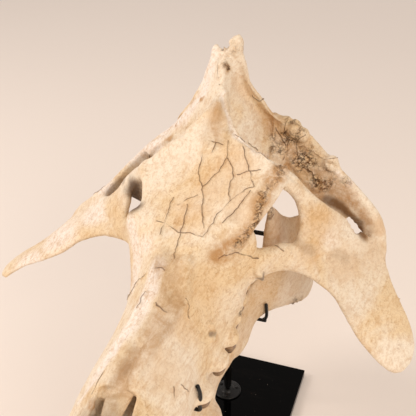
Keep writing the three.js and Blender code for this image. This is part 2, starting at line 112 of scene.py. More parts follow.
# The forehead, which overhangs the eye sockets and narrows to the crest: left edge, right edge,
# thickness. The ground has pressed it askew, so that its left edge is the higher one.
BROW = [
    [48, -62, 104, -40, -64, 99, 10],
    [66, -45, 113, -53, -47, 105, 15],
    [75, -29, 124, -57, -30, 112, 20],
    [83, -15, 134, -63, -15, 117, 20],
    [90, 3, 140, -68, 0, 121, 20],
    [95, 28, 145, -76, 22, 128, 20],
    [92, 44, 152, -80, 36, 134, 20],
    [69, 53, 158, -62, 48, 150, 20],
    [44, 65, 163, -42, 64, 162, 22],
    [24, 80, 172, -25, 82, 175, 22],
    [10, 98, 186, -12, 98, 188, 22],
    [3, 114, 198, -6, 114, 199, 16],
]

# The crest along the top: its upper edge, its foot, thickness.
CREST = [
    [-1, 100, 190, 0, 92, 130, 12],
    [-2, 116, 206, 0, 118, 140, 8],
    [-5, 130, 219, 0, 145, 140, 9],
    [-9, 148, 230, 0, 164, 140, 16],
]

# The back plate: z, x of its middle, half-width, y of its edges, y of its middle. Its top is
# the crest, and the left point of the crest stands lower than the right one.
NAPE = [
    [238, -10, 14, 168, 163],
    [222, -9, 19, 160, 160],
    [205, -9, 25, 156, 161],
    [190, -7, 29, 150, 162],
    [172, -5, 42, 147, 163],
    [153, -3, 54, 146, 165],
    [131, 0, 76, 152, 168],
    [112, 0, 82, 158, 172],
    [90, 0, 66, 162, 180],
    [66, 0, 40, 168, 184],
]
NAPE_THICK = 12

# The floor of the braincase, the walls behind the palate, the neck joint and the spurs beside it.
SKULL_FLOOR = [
    [0, 186, 78, 20],
    [0, 140, 66, 19],
    [0, 90, 56, 17],
    [0, 40, 50, 20],
    [0, 0, 46, 24],
]

PALATE_WALL = [
    [30, -24, 4, 30, -24, 60, 14],
    [30, 10, 2, 30, 10, 62, 10],
    [29, 44, 10, 30, 40, 70, 8],
    [28, 66, 26, 30, 60, 78, 7],
    [27, 84, 15, 29, 74, 66, 6],
]

NECK_KNUCKLE = [22, 190, 76, 15, 16, 20]

NECK_SPUR = [
    [44, 158, 110, 66, 158, 110, 14],
    [44, 156, 80, 62, 156, 80, 12],
    [44, 152, 55, 56, 152, 55, 8],
    [46, 150, 36, 52, 150, 36, 5],
]

# Cheeks: the arch from the skull's back corner, the bar behind the eye, the cheek bone and its
# flange. A row is the outer or upper edge, the inner or lower edge, and the thickness.
# The right side lies lower and further forward than the left, as the ground left it.
LEFT = {
    "arch": [
        [50, 160, 146, 52, 122, 64, 22],
        [78, 166, 130, 82, 118, 58, 20],
        [102, 156, 117, 106, 112, 50, 18],
        [126, 138, 106, 130, 106, 42, 16],
        [158, 120, 88, 156, 103, 42, 15],
        [186, 104, 70, 179, 94, 32, 16],
        [200, 92, 54, 190, 82, 20, 18],
        [206, 76, 36, 194, 66, 8, 18],
        [204, 60, 26, 190, 50, 8, 16],
    ],
    "bar": [
        [84, 52, 150, 82, 30, 142, 18],
        [98, 56, 137, 93, 34, 134, 16],
        [118, 58, 114, 103, 41, 114, 15],
        [136, 63, 95, 109, 38, 98, 15],
        [150, 71, 78, 112, 28, 82, 16],
        [164, 76, 60, 110, 12, 68, 18],
        [176, 76, 44, 112, 4, 54, 18],
    ],
    "cheek": [
        [72, -28, 88, 66, -30, 44, 26],
        [88, -12, 82, 82, -14, 45, 22],
        [102, 6, 77, 98, -3, 42, 19],
        [113, 15, 64, 116, 0, 40, 14],
        [124, 24, 48, 131, 6, 38, 8],
    ],
    "flange": [
        [172, 76, 50, 106, 6, 50, 15],
        [198, 74, 36, 128, 1, 36, 15],
        [211, 58, 24, 158, -6, 21, 15],
        [222, 39, 13, 174, -18, 9, 14],
        [236, 20, 1, 184, -28, 2, 14],
        [248, 6, -10, 195, -38, -6, 14],
        [257, -12, -19, 209, -47, -15, 13],
        [260, -28, -26, 223, -54, -23, 12],
        [257, -42, -31, 234, -57, -29, 10],
        [250, -53, -33, 243, -57, -32, 6],
    ],
}

RIGHT = {
    "arch": [
        [-50, 150, 160, -52, 118, 64, 22],
        [-75, 136, 131, -82, 110, 58, 20],
        [-90, 124, 120, -104, 104, 50, 18],
        [-107, 108, 108, -128, 96, 42, 15],
        [-130, 90, 86, -150, 88, 28, 13],
        [-150, 76, 64, -172, 78, 16, 13],
        [-170, 67, 44, -186, 70, 10, 15],
        [-190, 60, 28, -196, 58, 6, 16],
        [-196, 50, 22, -190, 44, 6, 16],
    ],
    "bar": [
        [-74, 42, 134, -70, 20, 128, 18],
        [-96, 46, 115, -87, 27, 114, 14],
        [-113, 52, 95, -98, 24, 97, 13],
        [-131, 56, 70, -99, 14, 82, 14],
        [-148, 60, 52, -100, 4, 70, 16],
        [-164, 64, 42, -104, 0, 54, 16],
    ],
    "cheek": [
        [-64, -30, 86, -60, -32, 46, 26],
        [-78, -14, 80, -76, -16, 46, 23],
        [-94, 0, 74, -94, -5, 43, 19],
        [-107, 8, 60, -110, -1, 41, 14],
        [-120, 18, 44, -127, 5, 38, 8],
    ],
    "flange": [
        [-168, 72, 40, -104, 0, 46, 14],
        [-187, 64, 27, -125, 4, 39, 14],
        [-200, 50, 18, -149, 1, 32, 14],
        [-213, 35, 8, -170, -6, 24, 13],
        [-228, 20, -2, -183, -20, 18, 12],
        [-243, 6, -10, -199, -27, 11, 11],
        [-259, -8, -16, -217, -33, 3, 10],
        [-270, -24, -21, -236, -37, -5, 9],
        [-274, -38, -24, -251, -45, -12, 8],
        [-270, -49, -23, -262, -53, -19, 5],
    ],
}

JAW_SOCKET = [
    [84, 128, 58, 10],
    [102, 126, 57, 14],
    [122, 121, 54, 14],
    [140, 114, 48, 9],
]

# The nose opening, cut from the front and the top, and the prong that hangs over it.
NOSE_HOLLOW = [
    [-374, 15, 46, 26],
    [-340, 19, 60, 34],
    [-300, 20, 70, 42],
    [-262, 20, 74, 44],
    [-236, 19.5, 68, 34],
    [-226, 17, 58, 20],
    [-196, 12, 54, 14],
]

NASAL_PRONG = [
    [-150, 22, 91, 7],
    [-200, 18.5, 83, 6],
    [-226, 14, 79, 5],
    [-248, 10.5, 75.5, 4.5],
    [-270, 6.5, 72, 4],
    [-288, 2.5, 69, 2.5],
]

# Teeth of the left side: x, y, crown height, half-length, half-width, bluntness, lean.
UPPER_TEETH = [
    [9, -351, 20, 6, 6, 0.3, -3],
    [21, -342, 22, 7, 6, 0.3, -2],
    [33, -322, 24, 8, 7, 0.3, 0],
    [44, -283, 46, 13, 11, 0.25, 5],
    [46, -232, 18, 10, 6, 0.3, 0],
    [54, -165, 16, 12, 9, 0.3, 2],
    [57, -121, 15, 13, 9, 0.3, 2],
    [59, -87, 15, 11, 9, 0.35, 0],
    [50, -58, 11, 13, 12, 0.7, 0],
    [49, -31, 11, 14, 12, 0.7, 0],
    [47, -6, 10, 12, 11, 0.7, 0],
]

LOWER_TEETH = [
    [6, -334, 13, 5, 4.5, 0.3, -3],
    [15, -325, 14, 6, 4.5, 0.3, -2],
    [27, -306, 15, 9, 7, 0.25, -2],
    [31, -256, 14, 8, 5, 0.3, 0],
    [34, -206, 17, 10, 6, 0.3, 2],
    [37, -142, 15, 11, 6, 0.3, 2],
    [38, -103, 12, 10, 7, 0.45, 0],
    [40, -72, 7, 12, 8, 0.7, 0],
    [41, -45, 7, 12, 9, 0.7, 0],
    [42, -18, 7, 13, 9, 0.7, 0],
]

CHIN = [
    [-346, 8, -36, 7],
    [-338, 18, -38, 12],
    [-318, 28, -45, 20],
    [-280, 31, -53, 27],
    [-240, 35, -59, 34],
    [-205, 38, -59, 33],
    [-192, 34, -56, 26],
]

# Each side's body and its upright branch: upper edge, lower edge, thickness.
JAW_BODY = [
    [22, -236, -27, 26, -232, -92, 24],
    [30, -190, -26, 36, -190, -92, 24],
    [37, -150, -25, 41, -150, -88, 22],
    [41, -105, -24, 38, -105, -80, 20],
    [43, -70, -22, 43, -70, -80, 21],
    [46, -40, -20, 49, -40, -80, 21],
    [50, -10, -18, 54, -10, -80, 20],
    [58, 14, -10, 61, 14, -78, 17],
    [70, 36, 0, 75, 36, -76, 17],
    [77, 64, 10, 88, 64, -82, 9],
]

JAW_BRANCH = [
    [68, 26, 2, 67, 22, -62, 8],
    [70, 32, 66, 72, 28, -72, 12],
    [75, 38, 96, 80, 38, -79, 13],
    [77, 50, 88, 90, 52, -87, 12],
    [80, 68, 64, 99, 69, -98, 11],
    [87, 88, 42, 107, 89, -110, 11],
    [96, 108, 32, 111, 109, -117, 11],
    [102, 121, 24, 112, 126, -104, 11],
    [103, 125, 4, 108, 132, -74, 8],
]

JAW_KNUCKLE = [
    [92, 117, 30, 6],
    [102, 117, 31, 10],
    [116, 116, 30, 10],
    [129, 113, 26, 6],
]

JAW_KNOBS = [
    [48, -168, -80, 20, 46, 22],
    [48, -26, -76, 12, 26, 11],
]

SUNK = 8  # how deep a tooth stands in its bone
JAW_LINE = -25  # height of the jaw's upper edge along the teeth

# Rods that are cut away: the hole at the neck joint, the gap under the left arch along the
# camera's line of sight, and the notch between the crest's two points. SLIT_END is added, and
# shortens the nose opening's right slit.
NECK_HOLE = [[0, 176, 96, 11], [0, 200, 98, 13], [0, 220, 99, 14]]
ARCH_GAP = [
    [[163.7, 60, 82.6, 2], [160.2, 90, 55.4, 2], [155.4, 130, 19, 2]],
    [[166.5, 60, 78, 3.2], [163.2, 90, 50, 3.5], [158.6, 130, 13.4, 3.5]],
    [[170.5, 60, 71, 3.8], [167.4, 90, 43.5, 4.2], [163.1, 130, 6.2, 4]],
    [[174.3, 60, 64.3, 3.5], [171.3, 90, 36.1, 4], [167.2, 130, -1.4, 4]],
]
SLIT_END = [[-15, -206, 77, 9], [-16, -226, 74, 8], [-17, -238, 71, 6]]
CREST_NOTCH = [[-14, 140, 238, 10], [-15, 165, 236, 10], [-16, 190, 234, 10]]

# Balls that are added: the crest's points, and the blocks at the broken root of the left arch.
CREST_POINTS = [[4, 165, 235, 6, 6, 9], [-26, 165, 221, 4, 6, 7]]
ROOT_BLOCKS = [
    [66, 153, 137, 8, 9, 10],
    [77, 150, 134, 9, 11, 12],
    [88, 148, 127, 8, 10, 9],
    [129, 130, 105, 8, 9, 9],
]

# Blades that are added: the wall that closes the hollow between the crest and the root of the
# right arch, and the thin plate behind the right eye socket.
RIGHT_WALL = [
    [-5, 136, 216, -25, 162, 214, 8],
    [-7, 124, 203, -30, 154, 196, 10],
    [-10, 110, 190, -38, 148, 177, 12],
    [-18, 98, 174, -52, 138, 156, 14],
    [-30, 92, 154, -66, 130, 138, 14],
    [-44, 94, 138, -78, 122, 125, 12],
    [-62, 92, 127, -88, 112, 118, 14],
    [-80, 90, 115, -100, 107, 110, 12],
    [-92, 90, 104, -108, 100, 103, 8],
]
ORBIT_WALL = [
    [-56, 30, 128, -58, 38, 76, 6],
    [-74, 30, 126, -76, 40, 72, 5],
    [-90, 31, 118, -92, 42, 68, 5],
    [-106, 36, 102, -108, 43, 74, 4],
]


# Shapes from rows


def catmull(a, b, c, d, t):
    """The place at t, from 0 to 1, on a smooth curve from b to c."""
    bend = 2 * a - 5 * b + 4 * c - d
    twist = 3 * b - a - 3 * c + d
    return 0.5 * (2 * b + (c - a) * t + bend * t * t + twist * t**3)


def smooth_rows(rows, steps):
    """Rows of numbers, smoothed lengthwise: the way from one row to the next gets `steps` steps."""
    rows = np.array(rows, float)
    padded = np.vstack([rows[:1], rows, rows[-1:]])
    spans = range(len(rows) - 1)
    made = [catmull(*padded[i : i + 4], k / steps) for i in spans for k in range(steps)]
    return np.array([*made, rows[-1]])


def columns(x, y, z):
    """Points from their x, y and z, each an array or one number for all."""
    return np.stack(np.broadcast_arrays(x, y, z), 1).astype(float)


def loft(rings):
    """A closed mesh through rings of points, with a fan over each end: (points, triangles)."""
    rings = np.array(rings, float)
    number, count, _ = rings.shape
    points = np.vstack([rings.reshape(-1, 3), rings[0].mean(0), rings[-1].mean(0)])
    i = np.arange(count)
    j = (i + 1) % count
    faces = []
    for start in range(0, (number - 1) * count, count):
        faces.append(np.stack([start + i, start + j, start + j + count], 1))
        faces.append(np.stack([start + i, start + j + count, start + i + count], 1))
    front = number * count
    last = front - count
    faces.append(np.stack([np.full(count, front), j, i], 1))
    faces.append(np.stack([np.full(count, front + 1), last + i, last + j], 1))
    return points, np.concatenate(faces)


def ovals(centre, across, through, count, power=1):
    """Rings round centres with half-axes across and through, squarer as power falls below 1."""
    angle = np.linspace(0, 2 * math.pi, count, endpoint=False)
    c, s = (np.sign(v) * np.abs(v) ** power for v in (np.cos(angle), np.sin(angle)))
    c, s = c[None, :, None], s[None, :, None]
    return centre[:, None] + across[:, None] * c + through[:, None] * s


def unit(vectors):
    return vectors / np.maximum(np.linalg.norm(vectors, axis=-1, keepdims=True), 1e-9)


def headings(centre):
    """The way a line of points runs at each of them."""
    ends = np.arange(len(centre))
    return centre[np.minimum(ends + 1, len(centre) - 1)] - centre[np.maximum(ends - 1, 0)]


def blade(rows, power=0.85):
    """A flat bone through rows of [x, y, z of one edge, x, y, z of the other edge, thickness]."""
    rows = smooth_rows(rows, 6)
    centre = (rows[:, :3] + rows[:, 3:6]) / 2
    across = (rows[:, 3:6] - rows[:, :3]) / 2
    through = unit(np.cross(across, headings(centre))) * rows[:, 6:7] / 2
    for i in range(1, len(through)):
        if through[i] @ through[i - 1] < 0:
            through[i] *= -1
    return loft(ovals(centre, across, through, 28, power))


def rod(rows, steps=4, count=20):
    """A round bar through rows of [x, y, z, radius]."""
    rows = smooth_rows(rows, steps)
    along = unit(headings(rows[:, :3]))
    across = np.zeros_like(along)
    previous = np.array([0.3, 0.2, 1])
    for i, way in enumerate(along):
        previous = unit(previous - way * (previous @ way))
        across[i] = previous
    through = np.cross(along, across)
    radius = rows[:, 3:4]
    return loft(ovals(rows[:, :3], across * radius, through * radius, count))


def tunnel(rows, power):
    """Upright ovals along the skull: rows of [y, half-width, z, half-height]."""
    y, wide, z, high = smooth_rows(rows, 5).T
    return loft(ovals(columns(0, y, z), columns(wide, 0, 0), columns(0, 0, high), 28, power))


def ball(row, rings=14, count=24):
    """A ball from [x, y, z, half-axes]."""
    x, y, z, a, b, c = row
    turn = np.linspace(0.12, math.pi - 0.12, rings)
    centre = columns(x, y, z + c * np.cos(turn))
    across = columns(a * np.sin(turn), 0, 0)
    return loft(ovals(centre, across, columns(0, b * np.sin(turn), 0), count))


def ball_pair(row, *detail):
    """A ball and its fellow on the other side of the midline."""
    return [ball([side * row[0], *row[1:]], *detail) for side in (1, -1)]


def both_sides(rows, make, places=(0, 3)):
    """A shape from rows, and its fellow; `places` are where the rows hold an x."""
    other = [[-value if i in places else value for i, value in enumerate(row)] for row in rows]
    return [make(rows), make(other)]


def closed_spline(loop, steps):
    """Closed rings through the corners in loop, an array of rings by corners by three."""
    a, b, c, d = (np.roll(loop, shift, axis=1) for shift in (1, 0, -1, -2))
    spans = [catmull(a, b, c, d, k / steps) for k in range(steps)]
    return np.stack(spans, 2).reshape(len(loop), -1, 3)


def joined(meshes):
    """Several meshes as one."""
    points, faces, start = [], [], 0
    for own_points, own_faces in meshes:
        points.append(own_points)
        faces.append(own_faces + start)
        start += len(own_points)
    return np.vstack(points), np.vstack(faces)


# Distance fields


def smooth_min(a, b, radius):
    """The smaller of two distances, rounded where they are within `radius` of each other."""
    near = np.maximum(radius - np.abs(a - b), 0) / radius
    near *= (np.maximum(a, b) < BAND) & (np.minimum(a, b) > -BAND)
    return np.minimum(a, b) - near * near * radius / 4


def between(values, cell, t):
    """The grid's values at t, from 0 to 1 each way, between a cell's corners."""
    total = 0
    for corner in np.ndindex(2, 2, 2):
        weight = np.prod(np.where(corner, t, 1 - t), axis=1)
        total = total + weight * values(cell + corner)
    return total


class Field:
    """Distances to a surface on a grid, negative inside."""

    def __init__(self, low, high):
        self.low = np.array(low, float)
        self.grid = vdb.createLinearTransform(voxelSize=FINE)
        size = np.ceil((np.array(high) - self.low) / FINE).astype(int) + 1
        self.values = np.full(size, BAND, np.float32)

    def distances(self, mesh):
        """The window of the grid that a closed mesh reaches, and its distances there."""
        points, triangles = mesh
        own = vdb.FloatGrid.createLevelSetFromPolygons(
            (points - self.low).astype(np.float32),
            triangles=triangles.astype(np.int32),
            transform=self.grid,
            halfWidth=BAND / FINE,
        )
        low, high = own.evalActiveVoxelBoundingBox()
        low = np.maximum(low, 0)
        high = np.minimum(high, np.array(self.values.shape) - 1)
        values = np.empty(high - low + 1, np.float32)
        own.copyToArray(values, ijk=tuple(int(i) for i in low))
        return tuple(slice(a, b + 1) for a, b in zip(low, high)), values

    def join(self, meshes, radius):
        for mesh in meshes:
            window, other = self.distances(mesh)
            self.values[window] = smooth_min(self.values[window], other, radius)

    def cut(self, meshes, radius):
        for mesh in meshes:
            window, other = self.distances(mesh)
            self.values[window] = -smooth_min(-self.values[window], other, radius)

    def surface(self):
        """The points and quads of the surface."""
        grid = vdb.FloatGrid()
        grid.background = BAND
        grid.copyFromArray(self.values)
        grid.transform = self.grid
        points, _, quads = grid.convertToPolygons(isovalue=0)
        return points.astype(float) + self.low, quads[:, ::-1].astype(np.int32)

    def blurred_at(self, points, reach):
        """The distances at points, averaged over a cube that reaches `reach` each way."""
        n = max(1, round(reach / FINE))
        values = self.values
        for axis in range(3):
            ends = [(n + 1, n) if a == axis else (0, 0) for a in range(3)]
            total = np.cumsum(np.pad(values, ends, mode="edge"), axis=axis, dtype=np.float64)
            first = np.arange(values.shape[axis])
            top = np.take(total, first + 2 * n + 1, axis=axis)
            values = ((top - np.take(total, first, axis=axis)) / (2 * n + 1)).astype(np.float32)
        place = np.clip((points - self.low) / FINE, 0, np.array(values.shape) - 1.001)
        cell = place.astype(int)
        return between(lambda corner: values[tuple(corner.T)], cell, place - cell)


# Noise


def scramble(cell, seed):
    """A fixed draw from 0 to 1 for each whole-numbered cell."""
    x, y, z = cell.astype(np.uint32).T
    mixed = x * np.uint32(374761393) + y * np.uint32(668265263) + z * np.uint32(2147483647)
    mixed += np.uint32((seed * 974634777) % 2**32)
    mixed = (mixed ^ (mixed >> np.uint32(13))) * np.uint32(1274126177)
    mixed ^= mixed >> np.uint32(16)
    return (mixed & np.uint32(0xFFFFFF)) / 0xFFFFFF


def noise(points, size, seed):
    """Smooth noise from -1 to 1 with lumps about `size` across."""
    place = points / size + 100 + 7.3 * seed
    cell = np.floor(place).astype(np.int64)
    t = place - cell
    t = t * t * t * (t * (t * 6 - 15) + 10)
    return 2 * between(lambda corner: scramble(corner, seed), cell, t) - 1


def rough(points, size, octaves, seed):
    """Noise with finer noise on it, about -1 to 1."""
    total = sum(noise(points, size / 2**i, seed + i) / 2**i for i in range(octaves))
    return total / (2 - 2 ** (1 - octaves))


def shifts(points, size, octaves, seeds):
    """Three noises side by side, to shift points by."""
    return np.stack([rough(points, size, octaves, seed) for seed in seeds], 1)


def blocks(points, size, seed):
    """A scatter of cells: how far each point is from the edge between the nearest two, and a
    draw from -1 to 1 that is the same all over a cell."""
    place = points / size + 100
    cell = np.floor(place).astype(np.int64)
    first, second = np.full((2, len(points)), 9.0)
    height = np.zeros(len(points))
    for step in np.ndindex(3, 3, 3):
        other = cell + step - 1
        centre = other + np.stack([scramble(other, seed + i) for i in range(3)], 1)
        distance = np.linalg.norm(place - centre, axis=1)
        height = np.where(distance < first, 2 * scramble(other, seed + 9) - 1, height)
        second = np.minimum(second, np.maximum(first, distance))
        first = np.minimum(first, distance)
    return (second - first) * size, height


def ramp(values, low, high):
    """0 at low and 1 at high, smooth between; high may be the smaller one."""
    t = np.clip((values - low) / (high - low), 0, 1)
    return t * t * (3 - 2 * t)


# Frames and places


def to_row(points):
    """From the skull's frame to the row's."""
    x, y, z = np.asarray(points, float).T
    c, s = math.cos(NOSE_DOWN), math.sin(NOSE_DOWN)
    return columns(x, y * c - z * s, y * s + z * c) + SKULL_AT


def to_skull(points):
    x, y, z = (np.asarray(points, float) - SKULL_AT).T
    c, s = math.cos(NOSE_DOWN), math.sin(NOSE_DOWN)
    return columns(x, y * c + z * s, z * c - y * s)


def inside_box(points):
    """Points in the row's frame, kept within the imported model's box."""
    low, high = (np.array(corner) / MM for corner in cad_box)
    return np.clip(points, low + MARGIN, high - MARGIN)


class Skin:
    """A bone's surface, for finding places on it."""

    def __init__(self, points, faces):
        self.tree = BVHTree.FromPolygons(points.tolist(), faces.tolist())

    def seen_at(self, pixels):
        """The places on the bone that the camera sees at pixels of the photograph, or None."""
        back = unit(np.array(EYE) - LOOK)
        right = unit(np.cross([0, 0, 1], back))
        up = np.cross(back, right)
        eye = to_skull([EYE])[0]
        half = PHOTO_PX / 2
        found = []
        for u, v in pixels:
            ray = right * (u - half) + up * (half - v) - back * FOCAL_PX
            way = to_skull([np.array(EYE) + ray])[0] - eye
            hit = self.tree.ray_cast(Vector(eye), Vector(unit(way)))
            found.append(None if hit[0] is None else np.array(hit[0]))
        return found

    def nearest(self, point):
        place, normal, _, _ = self.tree.find_nearest(Vector(point))
        return np.array(place), np.array(normal)

    def traced(self, pixels):
        """Lines on the bone along a line of pixels, parted where the bone jumps away."""
        line = [pixels[0]]
        for (u, v), (u2, v2) in zip(pixels[:-1], pixels[1:]):
            n = max(1, round(math.hypot(u2 - u, v2 - v) / LINE_STEP))
            line += [(u + (u2 - u) * k / n, v + (v2 - v) * k / n) for k in range(1, n + 1)]
        lines = [[]]
        for place in self.seen_at(line):
            own = lines[-1]
            if place is None or (own and np.linalg.norm(place - own[-1]) > JUMP):
                lines.append([])
            if place is not None:
                lines[-1].append(place)
        return [own for own in lines if own]

    def walked(self, start, way, length, draw):
        """A wandering line over the bone, from near `start` and at first towards `way`."""
        place, normal = self.nearest(start)
        line = [place]
        for _ in range(round(length / LINE_STEP)):
            way = unit(np.array(way) + [draw.gauss(0, 0.3) for _ in range(3)])
            way = unit(way - normal * (way @ normal))
            place, normal = self.nearest(place + way * LINE_STEP)
            line.append(place)
        return line

    def spots(self, rows):
        """Marks at places in the skull's frame, each set on the bone; some are painted shade."""
        return [([[self.nearest(place)[0]]], *rest) for place, *rest in rows]


def nearness(points, lines, width):
    """1 where points lie on the lines, 0 at `width` from them and beyond."""
    near = np.zeros(len(points))
    for line in lines:
        line = np.array(line)
        low, high = line.min(0) - width, line.max(0) + width
        about = np.flatnonzero(((points > low) & (points < high)).all(1))
        own = points[about]
        best = np.full(len(own), width, float)
        for a, b in zip(line[:-1], line[1:]) if len(line) > 1 else [(line[0], line[0])]:
            way = b - a
            close = np.flatnonzero(np.abs(own - (a + b) / 2).max(1) < width + np.linalg.norm(way))
            t = np.clip((own[close] - a) @ way / max(way @ way, 1e-9), 0, 1)
            distance = np.linalg.norm(own[close] - a - t[:, None] * way, axis=1)
            best[close] = np.minimum(best[close], distance)
        near[about] = np.maximum(near[about], 1 - best / width)
    return near


# Bones and teeth. The number after the shapes in a join or a cut is how far it rounds the edge.


def trunk():
    y, top, ridge_x, ridge_z, side_x, side_z, low_x, low_z, bottom = smooth_rows(TRUNK, 6).T
    half = [(ridge_x, ridge_z), (side_x, side_z), (low_x, low_z)]
    loop = [(0, top), *half, (0, bottom), *((-x, z) for x, z in reversed(half))]
    return loft(closed_spline(np.stack([columns(x, y, z) for x, z in loop], 1), 8))


def nape():
    """The back plate, thinner at its edges, with its left top corner lifted."""
    rings = []
    u = np.linspace(-1, 1, 17)
    for z, x, half_width, edge_y, middle_y in smooth_rows(NAPE, 4):
        tilt = 6 * ramp(z, 195, 210)
        sides = []
        for side in (-1, 1):
            y = middle_y + (edge_y - middle_y) * u * u + side * NAPE_THICK / 2 * (1 - 0.5 * u * u)
            sides.append(columns(x + u * half_width, y, z + tilt * u)[::-side])
        rings.append(np.vstack(sides))
    return loft(rings)


def root_swellings(rows, z):
    """The bone's swellings over the roots of the teeth."""
    made = []
    for x, y, _, long, wide, _, _ in rows:
        made += ball_pair([x, y, z, wide + 3.5, long + 2.5, 9], 8, 14)
    return made


def cranium_field():
    field = Field((-282, -384, -50), (268, 216, 250))
    main = [trunk(), nape(), rod(SKULL_FLOOR)]
    main += both_sides(PALATE_WALL, blade) + both_sides(NECK_SPUR, blade)
    field.join(main, 9)
    field.join([blade(BROW, 0.7), blade(CREST)], 8)
    field.join([blade(RIGHT_WALL, 0.7)], 12)
    field.join([ball(row) for row in CREST_POINTS], 6)
    field.cut([rod(CREST_NOTCH)], 4)
    field.join([ball(row) for row in ROOT_BLOCKS], 4)
    field.join(both_sides(JAW_SOCKET, rod, [0]), 8)
    field.join([blade(LEFT["arch"]), blade(RIGHT["arch"])], 9)
    for side in (LEFT, RIGHT):
        field.join([blade(side[name]) for name in ("bar", "cheek", "flange")], 10)
    field.cut([rod(rows) for rows in ARCH_GAP], 2)
    field.join([blade(ORBIT_WALL)], 5)
    field.join(ball_pair(NECK_KNUCKLE), 5)
    field.join(root_swellings(UPPER_TEETH, 7), 7)
    field.cut([tunnel(NOSE_HOLLOW, 0.6)], 2)
    field.join([tunnel(NASAL_PRONG, 0.85), rod(SLIT_END)], 2)
    field.cut([rod(NECK_HOLE)], 3)
    return field


def jaw_field():
    field = Field((-142, -360, -130), (142, 152, 106))
    field.join([tunnel(CHIN, 0.8)] + both_sides(JAW_BODY, blade), 8)
    field.join(both_sides(JAW_BRANCH, blade), 8)
    field.join(both_sides(JAW_KNUCKLE, rod, [0]), 5)
    for row in JAW_KNOBS:
        field.join(ball_pair(row), 10)
    field.join(root_swellings(LOWER_TEETH, JAW_LINE - 9), 6)
    return field


def teeth(rows, root, down):
    """Crowns with their cusps, growing up from `root` where down is 1 and down where it is -1."""
    made = []
    for number, (x, y, height, long, wide, blunt, lean) in enumerate(rows):
        for side in (1, -1):
            t = np.linspace(0, 1, 16)
            full = np.interp(t, [0, 0.3, 0.7, 1], [0.85, 1, 0.7, 0.2])
            full = np.where(t < 0.5, full, full * (1 - blunt) + blunt)
            z = root - down * SUNK + down * (height + SUNK) * t
            centre = columns(x * side, y + lean * t * t, z)
            rings = ovals(centre, columns(wide * full, 0, 0), columns(0, long * full, 0), 28)
            points, faces = loft(rings)
            near = ramp((points[:, 2] - root) * down, height * 0.45, height)
            cusps = np.cos((points[:, 0] - side * x) / wide * 3.1)
            cusps += np.cos((points[:, 1] - y) / long * 3.6)
            points[:, 2] -= down * near * blunt * 1.6 * (1 - cusps / 2)
            points += 0.5 * noise(points, 5, number)[:, None] * [1, 1, 0]
            made.append((points, faces))
    return joined(made)


# Pieces


def linked(name, data):
    made = bpy.data.objects.new(name, data)
    bpy.context.scene.collection.objects.link(made)
    return made


def dressed(name, mesh, material, replaced):
    """A smooth piece on the root body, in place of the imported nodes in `replaced`."""
    mesh.polygons.foreach_set("use_smooth", [True] * len(mesh.polygons))
    mesh.materials.append(material)
    made = linked(name, mesh)
    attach(made, ROOT)
    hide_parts(*replaced)
    return made


def piece(name, points, faces, material, replaced=()):
    """A piece from points in the row's frame, in millimetres."""
    mesh = bpy.data.meshes.new(name)
    mesh.from_pydata((inside_box(points) * MM).tolist(), [], faces.tolist())
    mesh.validate()
    return dressed(name, mesh, material, replaced)


# Surface: ridges, hollows, cracks, stains, painted shade and painted highlights. Lines and spots
# are the photograph's pixels, found on the bone from the camera, or places in the skull's frame for
# the sides it doesn't see.

CRACK_HALF = 1.25  # half-width of a crack
CRACK_DEPTH = 1.5
SHOULDER = 3  # how far from a crack the bone sinks a little
SHOULDER_DEPTH = 0.35
FINE_BESIDE = 3.2  # how far from a crack the faces are finer
BLOCK = 9  # size of the blocks in broken places
PIT_SPACING = 5.5

# Pixels, how far the form reaches to each side, and how high it stands.
RELIEF = [
    ([(217, 92), (208, 101), (197, 116), (182, 134), (160, 147), (150, 157)], 6, 2.2),
    ([(222, 92), (232, 128), (238, 137), (255, 150), (268, 158), (282, 167)], 6, 2.2),
    ([(219, 104), (218, 112)], 8, -2.5),
    ([(217, 114), (216, 124)], 11, -2.5),
    ([(212, 130), (222, 132)], 13, -2.5),
    ([(220, 60), (220, 75), (221, 86)], 3, -1.6),
    ([(157, 262), (152, 285), (140, 310), (120, 340), (100, 370), (78, 398)], 8, 3.2),
    ([(205, 270), (196, 300), (170, 350), (155, 385)], 7, 1.2),
    ([(166, 266), (162, 300), (140, 338), (118, 368)], 12, -3.5),
    ([(186, 264), (184, 300), (155, 346), (137, 378)], 14, -6.5),
    ([(281, 168), (292, 178), (302, 185), (312, 192)], 4, 1.4),
    ([(284, 172), (287, 180), (285, 190)], 2, -1),
    ([(327, 164), (332, 163), (338, 168)], 3, 2),
    ([(330, 170), (345, 178)], 3, -1.2),
    ([(209, 324), (212, 332), (210, 340)], 4, -6),
    ([(258, 272), (262, 279)], 6, -6),
    ([(278, 173)], 3, -2),
    ([(279, 179)], 2.4, -1.4),
    ([(201, 98), (200, 106)], 3, -1.6),
    ([(177, 125)], 3.4, -1.6),
    ([(225, 50)], 2, -4),
    ([(287, 121), (294, 118), (302, 124)], 6, 5),
    ([(328, 165), (336, 166)], 5, 4),
    ([(344, 181)], 5, 2.5),
    ([(311, 138), (314, 146)], 5, -3),
    ([(320, 156)], 4, -2.5),
    ([(290, 160), (300, 176), (318, 190)], 5, -3),
    ([(232, 40), (226, 50)], 4, -2),
    ([(222, 56), (232, 64)], 2, 1.2),
    ([(222, 63), (231, 71)], 2, -1.4),
    ([(236, 292), (242, 305), (240, 320), (245, 333)], 4, -1.5),
    ([(88, 395), (95, 412)], 4, -1.6),
]
